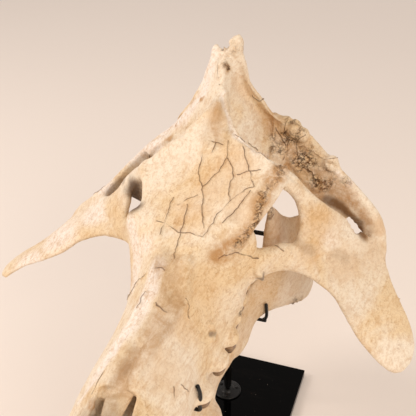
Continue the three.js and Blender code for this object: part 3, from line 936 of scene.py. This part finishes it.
# The pixels of each crack.
CRACKS = [
    [(229, 141), (227, 158), (233, 168), (233, 176), (229, 191), (230, 202), (218, 214),
     (214, 223)],
    [(237, 175), (247, 172), (260, 170)],
    [(243, 146), (247, 163), (254, 187), (245, 190), (230, 202)],
    [(250, 191), (238, 208), (223, 223)],
    [(226, 159), (219, 172), (202, 188)],
    [(210, 142), (206, 149)],
    [(216, 143), (212, 152)],
    [(209, 141), (222, 145)],
    [(202, 153), (199, 174), (203, 192), (203, 228)],
    [(188, 204), (183, 223), (179, 237), (174, 259)],
    [(173, 198), (165, 223), (160, 234)],
    [(197, 196), (178, 205)],
    [(157, 221), (165, 224), (178, 232), (190, 233), (202, 238)],
    [(202, 238), (214, 223)],
    [(235, 134), (250, 145), (268, 160)],
    [(219, 259), (224, 255), (238, 252), (250, 256), (258, 259)],
    [(158, 306), (166, 313)],
    [(182, 299), (186, 307), (189, 317)],
    [(173, 387), (174, 399)],
    [(181, 386), (187, 391)],
    [(275, 246), (283, 251)],
    [(145, 291), (136, 309)],
    [(108, 366), (100, 380), (92, 396)],
    [(286, 121), (284, 135), (290, 140), (300, 139), (305, 135)],
    [(297, 141), (298, 156)],
    [(288, 141), (287, 152)],
    [(220, 60), (219, 75), (221, 86)],
    [(312, 150), (325, 160), (340, 158)],
    [(300, 166), (312, 172), (318, 186)],
    [(276, 128), (286, 146), (283, 160)],
]

# Where cracks start on the sides that the camera doesn't see, their first way and length.
FAR_CRACKS = [
    ([60, 100, 95], [0, -1, 0.2], 70),
    ([-60, 110, 95], [0, -1, -0.3], 80),
    ([40, 165, 140], [-0.3, 0, 1], 60),
    ([-30, 168, 190], [0.2, 0, -1], 70),
    ([0, 172, 150], [0.6, 0, -1], 55),
    ([-55, 160, 110], [1, 0, 0.4], 60),
    ([-55, -100, 60], [0, -1, 0.3], 90),
    ([-52, -200, 40], [0, 1, 0.3], 70),
    ([-50, -280, 30], [0, 1, 0.6], 60),
    ([0, -60, 18], [0.1, -1, 0], 90),
    ([20, -200, 16], [-0.2, 1, 0], 80),
    ([190, 30, -20], [1, -0.6, 0], 40),
    ([-150, 90, 60], [-0.8, -0.6, -0.5], 60),
]
JAW_CRACKS = [
    ([38, -120, -50], [0, 1, 0.2], 90),
    ([-38, -90, -50], [0, -1, 0.3], 80),
    ([50, 0, -50], [0, 1, 0.5], 60),
    ([-52, 10, -40], [0, 1, -0.2], 70),
    ([90, 80, -60], [0, 0.3, 1], 60),
    ([-92, 85, -60], [0, 0.2, 1], 70),
    ([75, 45, 20], [0, 0.4, 1], 50),
    ([-76, 45, 30], [0, 0.3, -1], 60),
    ([20, -330, -40], [0, 1, -0.3], 60),
    ([-25, -300, -55], [0, 1, 0.2], 80),
    ([0, -260, -85], [0.3, 1, 0], 60),
    ([35, -200, -80], [0, 1, 0.1], 70),
]
# Stains, painted shade and painted highlights by what the material reads: pixels, reach in
# millimetres and strength.
STAINS_AND_PAINTED_LIGHT = {
    "gold": [
        ([(235, 165)], 34, 0.8), ([(212, 185)], 34, 0.8), ([(190, 212)], 30, 0.7),
        ([(245, 205)], 26, 0.8), ([(185, 330)], 26, 0.6), ([(168, 372)], 26, 0.6),
        ([(205, 290)], 26, 0.5), ([(320, 226)], 30, 0.9), ([(345, 262)], 28, 0.8),
        ([(375, 252)], 28, 0.7), ([(378, 228)], 16, 0.9), ([(395, 262)], 20, 0.8),
        ([(216, 118)], 16, 1), ([(310, 250)], 24, 0.7), ([(250, 90)], 18, 0.5),
    ],
    "pale": [
        # The bands along the crest's left face and arch, the muzzle's ridges and the temporal ridge
        # are painted highlight where the lamp lights them, over pale bone.
        ([(212, 55), (207, 75), (203, 92), (188, 112), (160, 138), (130, 160), (104, 188)], 15, 1),
        ([(157, 264), (150, 288), (138, 312), (120, 340), (100, 370), (80, 398)], 10, 1),
        ([(222, 92), (232, 128), (239, 138), (255, 150), (268, 158)], 5, 0.7),
        ([(130, 225), (138, 250), (134, 285)], 14, 0.8), ([(208, 72)], 20, 1), ([(204, 90)], 16, 1),
        ([(188, 112)], 20, 0.9), ([(155, 143)], 20, 1), ([(122, 168)], 20, 1),
        ([(60, 236)], 36, 0.9), ([(30, 262)], 28, 0.9), ([(95, 214)], 26, 0.9),
        ([(255, 150)], 6, 0.8), ([(238, 137)], 6, 0.8), ([(268, 158)], 6, 0.8),
        ([(145, 245)], 16, 0.7), ([(338, 173)], 6, 0.9), ([(348, 182)], 6, 0.9),
        ([(330, 240)], 14, 0.4),
    ],
    "brown": [
        ([(332, 203), (346, 210), (360, 222), (364, 236)], 8, 0.8),
        ([(340, 192), (357, 204), (368, 222)], 7, 0.7),
        ([(285, 166), (272, 180), (262, 200), (252, 225), (238, 243), (216, 257)], 11, 0.8),
        ([(266, 118), (288, 140), (304, 165), (325, 182), (344, 196)], 19, 0.6),
        # The line down the muzzle's valley is painted shade.
        ([(172, 268), (174, 300), (150, 340), (126, 384)], 15, 0.32), ([(300, 158)], 16, 0.8),
        ([(320, 184)], 14, 0.8), ([(282, 135)], 12, 0.6), ([(345, 190)], 10, 0.6),
        ([(243, 243)], 9, 0.9), ([(226, 256)], 10, 0.8), ([(227, 68)], 8, 0.9),
        ([(92, 404)], 6, 0.9), ([(177, 125)], 4, 0.9), ([(201, 100)], 5, 0.8),
        # The line in the hollow under the crest is painted shade.
        ([(170, 138)], 6, 0.7), ([(217, 106), (214, 124), (218, 136)], 9, 0.3),
        ([(215, 338)], 10, 0.5), ([(242, 312)], 9, 0.8), ([(213, 46)], 4, 0.9),
        ([(270, 120)], 12, 0.5), ([(12, 275)], 8, 0.6), ([(285, 200)], 8, 0.5),
    ],
    "grey_and_shade": [
        # The first two lines and the two patches on the cheek plate are painted shade: the muzzle's
        # valley, the hollow under the crest, the cheek.
        ([(166, 262), (170, 300), (146, 340), (122, 384), (112, 400)], 17, 0.6),
        ([(217, 104), (215, 120), (210, 133), (224, 135)], 14, 0.45),
        ([(298, 244), (310, 250)], 9, 0.55), ([(334, 252), (346, 258)], 8, 0.5),
        ([(293, 121)], 8, 0.8), ([(268, 158)], 8, 0.35), ([(232, 215)], 10, 0.3),
        ([(160, 232)], 10, 0.3),
    ],
    # Painted shade in the right eye socket and the slit behind it, in pits and holes, in the recess
    # between cheek and jaw, and on the left arch's inner face.
    "painted_shade": [
        ([(326, 200), (344, 210), (358, 222), (363, 236)], 9, 0.8), ([(278, 173)], 3, 0.8),
        ([(225, 50)], 3, 1), ([(210, 332)], 5, 0.7), ([(260, 276)], 6, 0.9), ([(213, 47)], 3, 0.7),
        ([(134, 184), (136, 196), (136, 208)], 12, 1), ([(124, 180), (110, 192)], 9, 0.45),
    ],
    "broken": [
        ([(284, 166), (270, 182), (262, 200), (254, 225), (238, 247)], 6, 0.8),
        ([(292, 135)], 20, 1), ([(305, 160)], 20, 1), ([(322, 178)], 18, 1),
        ([(290, 122)], 12, 0.7), ([(227, 66)], 7, 1), ([(240, 312)], 8, 0.8),
        ([(345, 180)], 8, 0.6), ([(262, 195)], 7, 0.7), ([(254, 228)], 7, 0.7),
        ([(236, 250)], 8, 0.6),
    ],
}

# The same, with a place in the skull's frame instead of pixels.
FAR_STAINS_AND_PAINTED_LIGHT = {
    "gold": [
        ([-200, 30, 0], 50, 0.4), ([60, 60, 80], 40, 0.6), ([0, -180, 16], 60, 0.5),
    ],
    "pale": [
        ([-100, 130, 110], 26, 0.5), ([-20, 172, 200], 30, 0.6), ([30, 172, 140], 24, 0.4),
    ],
    "brown": [
        ([0, 176, 100], 34, 0.8), ([60, 150, 100], 30, 0.8), ([-60, 150, 100], 30, 0.8),
        ([0, 120, 50], 40, 0.6), ([-150, 80, 20], 20, 0.6), ([0, -60, 18], 40, 0.5),
        ([-60, -80, 60], 20, 0.4), ([0, 40, 40], 40, 0.6), ([110, 122, 60], 22, 0.7),
        ([-110, 122, 60], 22, 0.7),
    ],
    "grey_and_shade": [
        ([40, 168, 120], 16, 0.6), ([-45, -150, 40], 18, 0.5), ([220, -20, -14], 14, 0.5),
    ],
    # Painted shade inside the neck hole and the nose opening.
    "painted_shade": [
        ([0, 190, 97], 14, 1), ([0, -300, 60], 46, 0.9),
    ],
    "broken": [
        ([55, 150, 110], 20, 0.8), ([-60, 150, 108], 20, 0.8), ([0, 168, 228], 14, 0.7),
    ],
}
JAW_STAINS = {
    "gold": [
        ([40, -80, -50], 40, 0.5), ([-40, -60, -50], 40, 0.5), ([95, 90, -40], 40, 0.6),
    ],
    "pale": [
        ([-90, 100, -60], 30, 0.5), ([-30, -280, -60], 30, 0.5),
    ],
    "brown": [
        ([72, 40, 60], 36, 0.45), ([-72, 40, 60], 36, 0.45), ([100, 117, 0], 24, 0.7),
        ([-100, 117, 0], 24, 0.7), ([48, -168, -84], 20, 0.6), ([-48, -26, -80], 20, 0.6),
        ([10, -330, -36], 20, 0.5), ([0, -280, -80], 26, 0.5),
    ],
    "grey_and_shade": [
        ([60, 20, -60], 16, 0.5), ([-44, -190, -60], 16, 0.6), ([85, 60, 0], 14, 0.4),
    ],
    "painted_shade": [],
    "broken": [
        ([97, 70, -100], 18, 0.8), ([-97, 70, -100], 18, 0.8), ([72, 36, 92], 12, 0.8),
    ],
}


def skull_points(made):
    """A piece's points in the skull's frame, in millimetres."""
    flat = np.empty(len(made.data.vertices) * 3, np.float32)
    made.data.vertices.foreach_get("co", flat)
    return to_skull(flat.reshape(-1, 3).astype(float) / MM)


def skull_normals(made):
    flat = np.empty(len(made.data.vertices) * 3, np.float32)
    made.data.vertex_normals.foreach_get("vector", flat)
    return to_skull(flat.reshape(-1, 3).astype(float) + SKULL_AT)


def refined(made, lines, width):
    """Finer faces beside the lines."""
    close = nearness(skull_points(made), lines, width) > 0
    shape = bmesh.new()
    shape.from_mesh(made.data)
    edges = [e for e in shape.edges if close[e.verts[0].index] and close[e.verts[1].index]]
    cuts = 2
    bmesh.ops.subdivide_edges(shape, edges=edges, cuts=cuts, use_grid_fill=True)
    bmesh.ops.triangulate(shape, faces=[f for f in shape.faces if len(f.verts) > 4])
    shape.to_mesh(made.data)
    shape.free()


def stain_and_painted_light(points, spots):
    """How strongly spots of (lines, reach, strength) mark each point, be they discolouring, painted
    shade or painted highlight.
    """
    total = np.zeros(len(points))
    for lines, reach, strength in spots:
        total = np.maximum(total, strength * ramp(nearness(points, lines, reach * 1.25), 0, 0.75))
    return total


def weathered(made, field, relief, cracks, stains_and_painted_light):
    """Carve a bone's relief, cracks and broken places, and paint what its material reads, painted
    shade and painted highlights among it.
    """
    refined(made, cracks, FINE_BESIDE)
    points = skull_points(made)
    normals = skull_normals(made)
    wander = shifts(points, 7, 2, (3, 5, 8))
    wander -= normals * (wander * normals).sum(1, keepdims=True)
    shown = points + 1.8 * wander
    spread = points + 5 * shifts(points, 22, 3, (13, 15, 18))
    painted = {name: stain_and_painted_light(spread, spots) for name, spots in stains_and_painted_light.items()}

    # Waves, ridges and hollows.
    lift = 0.55 * rough(points, 26, 3, 1) + 0.35 * rough(points, 6, 2, 2)
    for lines, width, height in relief:
        lift += height * ramp(nearness(points, lines, width), 0, 1)

    # Cracks, narrower and fading in places, between sunken shoulders.
    strong = rough(points, 14, 2, 81)
    closed = 0.35 * ramp(strong, 0.4, -0.5)
    crack = np.clip((nearness(shown, cracks, CRACK_HALF) - closed) / (1 - closed), 0, 1)
    crack *= ramp(strong, -0.9, -0.05)
    broad = nearness(shown, cracks, SHOULDER)
    lift -= CRACK_DEPTH * crack + SHOULDER_DEPTH * broad * broad

    # Broken places, in blocks of uneven height, and pits in brown ones.
    broken = painted["broken"] * ramp(rough(points, 16, 2, 31), -0.7, 0.1)
    edges, heights = blocks(shown, BLOCK, 41)
    crumbs = rough(points, 3.5, 2, 51)
    lift += broken * (1.3 * heights - 1.4 * ramp(edges, 1.5, 0) + 0.8 * crumbs)
    pits = ramp(blocks(shown, PIT_SPACING, 61)[0], 0.9, 0.1) * ramp(painted["brown"], 0.2, 0.8)
    lift -= 0.7 * pits * ramp(rough(points, 9, 2, 71), -0.2, 0.5)

    # Painted shade in hollows, and wear on edges, by how the surface bends.
    blunt = field.blurred_at(points, 5)
    painted["painted_shade"] = np.maximum(painted["painted_shade"], 0.8 * ramp(blunt, -0.9, -3.4))
    painted["brown"] = np.maximum(painted["brown"], broken * 0.35)
    painted["broken"] = broken
    painted["worn"] = ramp(blunt, 0.7, 2.6)
    painted["crack"] = np.maximum(ramp(crack, 0.2, 0.9), broken * ramp(edges, 0.9, 0.2) * 0.8)
    moved = inside_box(to_row(points + normals * lift[:, None])) * MM
    made.data.vertices.foreach_set("co", moved.astype(np.float32).ravel())
    made.data.update()
    for name, values in painted.items():
        layer = made.data.attributes.new(name, "FLOAT", "POINT")
        layer.data.foreach_set("value", np.asarray(values, np.float32))


# Materials


def colour(code):
    """Linear colour from a screen colour such as #e6cfa2."""
    parts = [int(code[i : i + 2], 16) / 255 for i in (1, 3, 5)]
    return [p / 12.92 if p <= 0.04045 else ((p + 0.055) / 1.055) ** 2.4 for p in parts] + [1]


class Look:
    """A material under construction: its base colour, coat by coat, and its nodes."""

    def __init__(self, name, plain):
        self.material = bpy.data.materials.new(name)
        self.material.use_nodes = True
        self.tree = self.material.node_tree
        self.place = self.node("TexCoord").outputs["Object"]
        self.base = colour(plain)

    def node(self, kind, settings=(), **inputs):
        made = self.tree.nodes.new("ShaderNode" + kind)
        for name, value in dict(settings).items():
            setattr(made, name, value)
        self.fill(made, inputs)
        return made

    def fill(self, node, inputs):
        for name, value in inputs.items():
            self.give(node.inputs[name.replace("_", " ")], value)

    def give(self, socket, value):
        if isinstance(value, bpy.types.NodeSocket):
            self.tree.links.new(value, socket)
        else:
            socket.default_value = value

    def noise(self, scale, detail, roughness, distortion=0, place=None):
        made = self.node("TexNoise", Scale=scale, Detail=detail, Roughness=roughness)
        self.fill(made, {"Distortion": distortion, "Vector": place or self.place})
        return made.outputs["Fac"]

    def cells(self, scale):
        """The distance to the edges between a scatter of cells, bent by noise."""
        bent = self.node("TexNoise", Scale=scale * 0.8, Detail=3.0).outputs["Color"]
        place = self.node("VectorMath", {"operation": "MULTIPLY_ADD"})
        for socket, value in zip(place.inputs, (bent, (0.012, 0.012, 0.012), self.place)):
            self.give(socket, value)
        place = place.outputs["Vector"]
        made = self.node("TexVoronoi", {"feature": "DISTANCE_TO_EDGE"}, Scale=scale, Vector=place)
        return made.outputs["Distance"]

    def stretched(self, x, y, z):
        """The place, stretched along each axis: a pattern runs along the smallest number."""
        return self.node("Mapping", Scale=(x, y, z), Vector=self.place).outputs["Vector"]

    def painted(self, name):
        return self.node("Attribute", {"attribute_name": name}).outputs["Fac"]

    def maths(self, kind, a, b):
        made = self.node("Math", {"operation": kind})
        self.give(made.inputs[0], a)
        self.give(made.inputs[1], b)
        return made.outputs[0]

    def times(self, a, b):
        return self.maths("MULTIPLY", a, b)

    def total(self, *parts):
        """The sum of the parts, each a value and its share."""
        made = 0.0
        for value, share in parts:
            made = self.maths("ADD", made, self.times(value, share))
        return made

    def ramp(self, value, low, high, to_low=0.0, to_high=1.0):
        made = self.node("MapRange", {"interpolation_type": "SMOOTHSTEP"}, Value=value)
        self.fill(made, {"From Min": low, "From Max": high, "To Min": to_low, "To Max": to_high})
        return made.outputs["Result"]

    def coat(self, share, code):
        """Lay a colour over the base colour, as strongly as `share` says."""
        made = self.node("Mix", {"data_type": "RGBA"})
        for number, value in ((0, share), (6, self.base), (7, colour(code))):
            self.give(made.inputs[number], value)
        self.base = made.outputs[2]

    def bump(self, height, strength, distance):
        made = self.node("Bump", Strength=strength, Distance=distance, Height=height)
        return made.outputs["Normal"]

    def finish(self, **inputs):
        self.fill(self.tree.nodes["Principled BSDF"], {"Base Color": self.base, **inputs})
        return self.material


def bone_look(name, plain, warm):
    """Mineralised bone: cream to golden, browner in cracks and broken places, with painted shade in
    its hollows and painted highlights along lit ridges.
    """
    look = Look(name, plain)
    broad = look.noise(9, 5, 0.62, 0.4)
    mottle = look.noise(55, 6, 0.7, 0.6)
    grain = look.noise(420, 4, 0.7)
    fibre = look.noise(60, 5, 0.65, 0.3, look.stretched(5, 0.7, 3.5))
    flecks = look.noise(170, 5, 0.75, 0.8)
    broken = look.painted("broken")
    clefts = look.times(broken, look.ramp(look.cells(105), 0.07, 0.015))
    pits = look.times(broken, look.ramp(flecks, 0.54, 0.6, 0, 0.8))
    chips = look.times(broken, look.ramp(flecks, 0.48, 0.4, 0, 0.85))

    def patchy(stain_and_painted_light, low, high, least):
        """A painted patch, uneven with the mottling: discolouring, painted shade or painted
        highlight.
        """
        return look.times(look.painted(stain_and_painted_light), look.ramp(mottle, low, high, least))

    look.coat(look.ramp(broad, 0.38, 0.64), warm)
    look.coat(patchy("gold", 0.2, 0.8, 0.6), "#dcb888")
    # Pale bone, with painted highlight along the lit ridges and faces.
    look.coat(patchy("pale", 0.2, 0.7, 0.75), "#f8efe6")
    look.coat(look.ramp(fibre, 0.46, 0.64, 0, 0.42), "#c79d69")
    look.coat(look.ramp(grain, 0.48, 0.66, 0, 0.34), "#b48a5b")
    look.coat(look.ramp(mottle, 0.5, 0.66, 0, 0.4), "#c29762")
    look.coat(look.ramp(flecks, 0.54, 0.68, 0, 0.5), "#a97c4c")
    look.coat(look.ramp(broad, 0.6, 0.4, 0, 0.25), "#f2e6d6")
    # Grey stains, and painted shade in the muzzle's valley, under the crest and on the cheek plate.
    look.coat(patchy("grey_and_shade", 0.3, 0.65, 0.3), "#a88c6c")
    # Brown stains, and painted shade in the muzzle's valley and under the crest.
    look.coat(patchy("brown", 0.34, 0.6, 0.35), "#b07c3c")
    look.coat(chips, "#efd6ab")
    look.coat(pits, "#76491f")
    look.coat(look.times(clefts, 0.8), "#44280f")
    # Painted shade: holes, slits, recesses and hollows darkened.
    look.coat(look.times(look.painted("painted_shade"), 0.85), "#4a2c15")
    look.coat(look.times(look.painted("worn"), look.ramp(grain, 0.35, 0.6, 0, 0.4)), "#f3e3cd")
    look.coat(look.times(look.painted("crack"), 0.85), "#5a3a20")
    raised = look.total((mottle, 0.6), (grain, 0.3), (fibre, 0.4), (flecks, 0.5))
    height = look.maths("SUBTRACT", raised, look.total((clefts, 0.8), (pits, 1.0)))
    return look.finish(
        Roughness=look.ramp(mottle, 0.3, 0.8, 0.5, 0.72),
        Normal=look.bump(height, 0.75, 0.0022),
        Specular_IOR_Level=0.35,
    )


def tooth_look():
    """Old enamel: brown, streaked from root to tip."""
    look = Look("tooth_enamel", "#8d6c49")
    along = look.noise(90, 5, 0.6, 0.2, look.stretched(1.2, 1.2, 0.35))
    dull = look.noise(60, 5, 0.65)
    look.coat(look.ramp(along, 0.35, 0.7), "#5b4029")
    look.coat(look.ramp(dull, 0.5, 0.75, 0, 0.7), "#c7a67c")
    return look.finish(
        Roughness=look.ramp(dull, 0.3, 0.7, 0.28, 0.5),
        Normal=look.bump(along, 0.35, 0.0006),
        Coat_Weight=0.2,
    )


def steel_look():
    """Black paint on steel rod, with a few rubbed and dusty places."""
    look = Look("black_steel", "#0b0a09")
    dust = look.noise(240, 4, 0.7)
    look.coat(look.ramp(look.noise(70, 5, 0.7), 0.62, 0.78, 0, 0.6), "#2c2119")
    look.coat(look.ramp(dust, 0.66, 0.8, 0, 0.3), "#6a5a4b")
    return look.finish(
        Roughness=look.ramp(dust, 0.3, 0.8, 0.26, 0.5),
        Normal=look.bump(dust, 0.15, 0.0003),
        Metallic=0.35,
    )


def gloss_look():
    """Black acrylic sheet with dust and faint wiping marks."""
    look = Look("black_gloss", "#020202")
    cells = look.node("TexVoronoi", Scale=130, Vector=look.place).outputs["Distance"]
    patches = look.ramp(look.noise(26, 3, 0.6), 0.5, 0.62)
    specks = look.times(look.ramp(cells, 0.085, 0.04), patches)
    haze = look.noise(14, 6, 0.75, 0.8, look.stretched(1, 4, 1))
    look.coat(look.ramp(haze, 0.5, 0.8, 0, 0.02), "#8a7a6c")
    look.coat(look.times(specks, 0.75), "#b8a999")
    rough = look.maths("ADD", look.ramp(haze, 0.4, 0.8, 0.05, 0.16), look.times(specks, 0.4))
    return look.finish(Roughness=rough, Specular_IOR_Level=0.05)


def floor_look():
    look = Look("studio_floor", "#eee4db")
    look.coat(look.noise(0.5, 2, 0.4), "#f2e9e1")
    return look.finish(Roughness=0.9, Specular_IOR_Level=0.1)


# Mount


def placed(points):
    """Places on the mount that are given in the skull's frame, in the row's."""
    return [list(p) for p in to_row(points)]


def bar(points, radius=BAR, steps=8, count=20):
    """A steel rod through points, with rounded ends."""
    points = np.array(points, float)
    radii = np.full((len(points), 1), float(radius))
    rows = smooth_rows(np.hstack([points, radii]), steps)
    ends = []
    for end, inward in ((rows[0], rows[1]), (rows[-1], rows[-2])):
        way = unit(inward[:3] - end[:3])
        turns = [(0.04, 0.28), (0.13, 0.5), (0.3, 0.72), (0.55, 0.89), (0.8, 0.98)]
        ends.append([[*(end[:3] + way * radius * a), radius * b] for a, b in turns])
    middle = rows[1:-1].tolist()
    return rod([*ends[0], *middle, *ends[1][::-1]], steps=1, count=count)


def turned(profile, centre, count=64):
    """A turned piece with an upright axis, from rows of [radius, height]."""
    x, y, z = centre
    r, up = np.array(profile, float).T
    return loft(ovals(columns(x, y, up + z), columns(r, 0, 0), columns(0, r, 0), count))


def cradle_parts():
    """The post, the bars under the skull and the clips beside its snout."""
    reach, y, z = CRADLE["reach"], CRADLE["y"], CRADLE["z"]
    x, clip_y, clip_z = CRADLE["clip_x"], CRADLE["clip_y"], CRADLE["clip_z"]
    parts = []
    for side in (1, -1):
        points = [[0, clip_z], [40, clip_z], [x + 4, clip_z]]
        points += [[x + 5.5, 0], [x + 7.5, 20], [x + 5.5, CRADLE["clip_top"]]]
        parts.append(bar(placed([[side * out, clip_y, up] for out, up in points]), THIN_BAR))
    top = [0, POST["y"], POST["top"]]
    foot = [0, POST["y"], BASE["thickness"] + FOOT["height"] + 2 * GAP]
    hub = placed([[0, y, z]])[0]
    parts.append(bar([foot, top], POST["radius"], 4, 40))
    parts.append(bar([top, [0, POST["y"] - 10, POST["top"] + 12], hub], NECK_BAR))
    parts.append(bar(placed([[-reach, y, z], [reach, y, z]])))
    parts.append(bar(placed([[0, y, z], [0, 20, -2], [0, clip_y, clip_z]])))
    return parts


def jaw_rest_parts():
    """The rod under the jaw with a hook at each end, and the collar that holds it to the post."""
    y, z, x = REST["y"], REST["z"], REST["x"]
    hooks = []
    for side in (-1, 1):
        points = [[x, y - 1, REST["top"]], [x, y, -70], [x - 4, y, z + 2.5], [x - 13, y, z]]
        hooks.append(placed([[side * out, back, up] for out, back, up in points]))
    middle = placed([[0, y, z]])[0]
    around = [0, POST["y"], middle[2]]
    r, h, inner = REST["collar"], REST["collar_height"] / 2, POST["radius"] + GAP
    profile = [[inner, -h], [r - 1, -h], [r, 1 - h], [r, h - 1], [r - 1, h], [inner, h]]
    screw = [[0, POST["y"] + r + out, middle[2]] for out in (-1, 5)]
    hooked = bar([*hooks[0], *hooks[1][::-1]], THIN_BAR)
    arm = bar([around, middle], NECK_BAR)
    return [hooked, arm, turned(profile, around), bar(screw, 2.6, 2, 12)]


def foot_parts():
    """The flange at the post's foot, with three screw heads."""
    radius, height, neck = FOOT["radius"], FOOT["height"], POST["radius"] + 3
    place = (0, POST["y"], BASE["thickness"] + GAP)
    rim = [[0.1, 0], [radius, 0], [radius, 2], [radius - 0.5, 2.6], [radius - 1.5, 3]]
    hollow = [[neck + 3, 3.3], [neck + 1.2, 3.9], [neck + 0.4, 5]]
    top = [[neck, height - 0.6], [neck - 0.6, height], [0.1, height]]
    parts = [turned(rim + hollow + top, place)]
    head = [[0.1, 0], [3, 0], [2.9, 1.1], [1.9, 1.9], [0.1, 2.1]]
    for turn in (0.5, 2.6, 4.7):
        x = (radius - 5.5) * math.cos(turn)
        y = POST["y"] + (radius - 5.5) * math.sin(turn)
        parts.append(turned(head, (x, y, place[2] + 2.8), 24))
    return parts


def base_plate():
    """The base: a slab with polished, rounded edges."""
    mesh = bpy.data.meshes.new("stand_base_plate")
    shape = bmesh.new()
    bmesh.ops.create_cube(shape, size=1)
    size = Vector((BASE["width"], BASE["length"], BASE["thickness"])) * MM
    bmesh.ops.scale(shape, vec=size, verts=shape.verts)
    bmesh.ops.translate(shape, vec=(0, 0, size.z / 2), verts=shape.verts)
    edge = {"offset": 1.2 * MM, "segments": 4, "profile": 0.5, "affect": "EDGES"}
    bmesh.ops.bevel(shape, geom=shape.edges[:], **edge)
    shape.to_mesh(mesh)
    shape.free()
    made = dressed("stand_base_plate", mesh, gloss_look(), ("stand_base",))
    made.modifiers.new("flat_faces", "WEIGHTED_NORMAL")


# Stage


def aimed(made, place, target, scale=1):
    """Set an object at a place, turned towards its target."""
    made.location = Vector(place) * scale
    made.rotation_mode = "QUATERNION"
    made.rotation_quaternion = (Vector(target) - Vector(place)).to_track_quat("-Z", "Y")


def camera():
    data = bpy.data.cameras.new("camera")
    data.sensor_width = 36
    data.lens = FOCAL_PX / PHOTO_PX * data.sensor_width
    data.clip_start, data.clip_end = 0.05, 50
    made = linked("camera", data)
    aimed(made, EYE, LOOK, MM)
    bpy.context.scene.camera = made


def area_light(name, place, size, watts, tint):
    """A square lamp, turned to the middle of the skull."""
    data = bpy.data.lights.new(name, "AREA")
    data.shape = "RECTANGLE"
    data.size = data.size_y = size
    data.energy = watts
    data.color = colour(tint)[:3]
    aimed(linked(name, data), place, (0, 0, 0.4))


def stage():
    """A plain pale floor, soft light all round, and two lamps from the front."""
    mesh = bpy.data.meshes.new("floor")
    corners = [(-1, -1), (1, -1), (1, 1), (-1, 1)]
    mesh.from_pydata([(9 * x, 9 * y, 0) for x, y in corners], [], [(0, 1, 2, 3)])
    mesh.materials.append(floor_look())
    linked("floor", mesh)
    world = bpy.data.worlds.new("studio")
    world.use_nodes = True
    light = world.node_tree.nodes["Background"].inputs
    light["Color"].default_value = colour("#fff5ee")
    light["Strength"].default_value = 0.72
    bpy.context.scene.world = world
    area_light("key", (-1.9, -0.7, 1.8), 0.7, 28, "#fff3e9")
    area_light("fill", (1.5, -1.5, 1.5), 1.4, 24, "#fff1e2")
    bpy.context.scene.view_settings.view_transform = "Standard"


# The object


def skull():
    bone = bone_look("skull_bone", "#eee1ca", "#e8cfa8")
    field = cranium_field()
    points, faces = field.surface()
    replaced = ("cranium", "snout", "cheek_left", "cheek_right")
    made = piece("cranium_bone", to_row(points), faces, bone, replaced)
    skin = Skin(points, faces)
    draw = random.Random(7)
    cracks = [line for pixels in CRACKS for line in skin.traced(pixels)]
    cracks += [skin.walked(*start, draw) for start in FAR_CRACKS]
    relief = [(skin.traced(pixels), width, height) for pixels, width, height in RELIEF]
    stains_and_painted_light = {}
    for name, rows in STAINS_AND_PAINTED_LIGHT.items():
        stains_and_painted_light[name] = [(skin.traced(pixels), *rest) for pixels, *rest in rows]
        stains_and_painted_light[name] += skin.spots(FAR_STAINS_AND_PAINTED_LIGHT[name])
    weathered(made, field, relief, cracks, stains_and_painted_light)


def jaw():
    bone = bone_look("jaw_bone", "#e4d4bc", "#d9bf9b")
    field = jaw_field()
    points, faces = field.surface()
    made = piece("jaw_bone", to_row(points), faces, bone, ("lower_jaw",))
    skin = Skin(points, faces)
    draw = random.Random(11)
    cracks = [skin.walked(*start, draw) for start in JAW_CRACKS]
    stains_and_painted_light = {name: skin.spots(rows) for name, rows in JAW_STAINS.items()}
    weathered(made, field, [], cracks, stains_and_painted_light)


def tooth_rows():
    enamel = tooth_look()
    for name, rows, root, down, slot in (
        ("upper_teeth", UPPER_TEETH, -2, -1, "bone"),
        ("lower_teeth", LOWER_TEETH, JAW_LINE + 2, 1, "jaw_bone"),
    ):
        points, faces = teeth(rows, root, down)
        piece(name, to_row(points), faces, enamel)


def mount():
    steel = steel_look()
    for name, parts, node in (
        ("stand_cradle", cradle_parts(), "stand_post"),
        ("stand_jaw_hook", jaw_rest_parts(), "stand_jaw_rest"),
        ("stand_flange", foot_parts(), "stand_foot"),
    ):
        points, faces = joined(parts)
        piece(name, points, faces, steel, (node,))
    base_plate()


camera()
stage()
skull()
jaw()
tooth_rows()
mount()

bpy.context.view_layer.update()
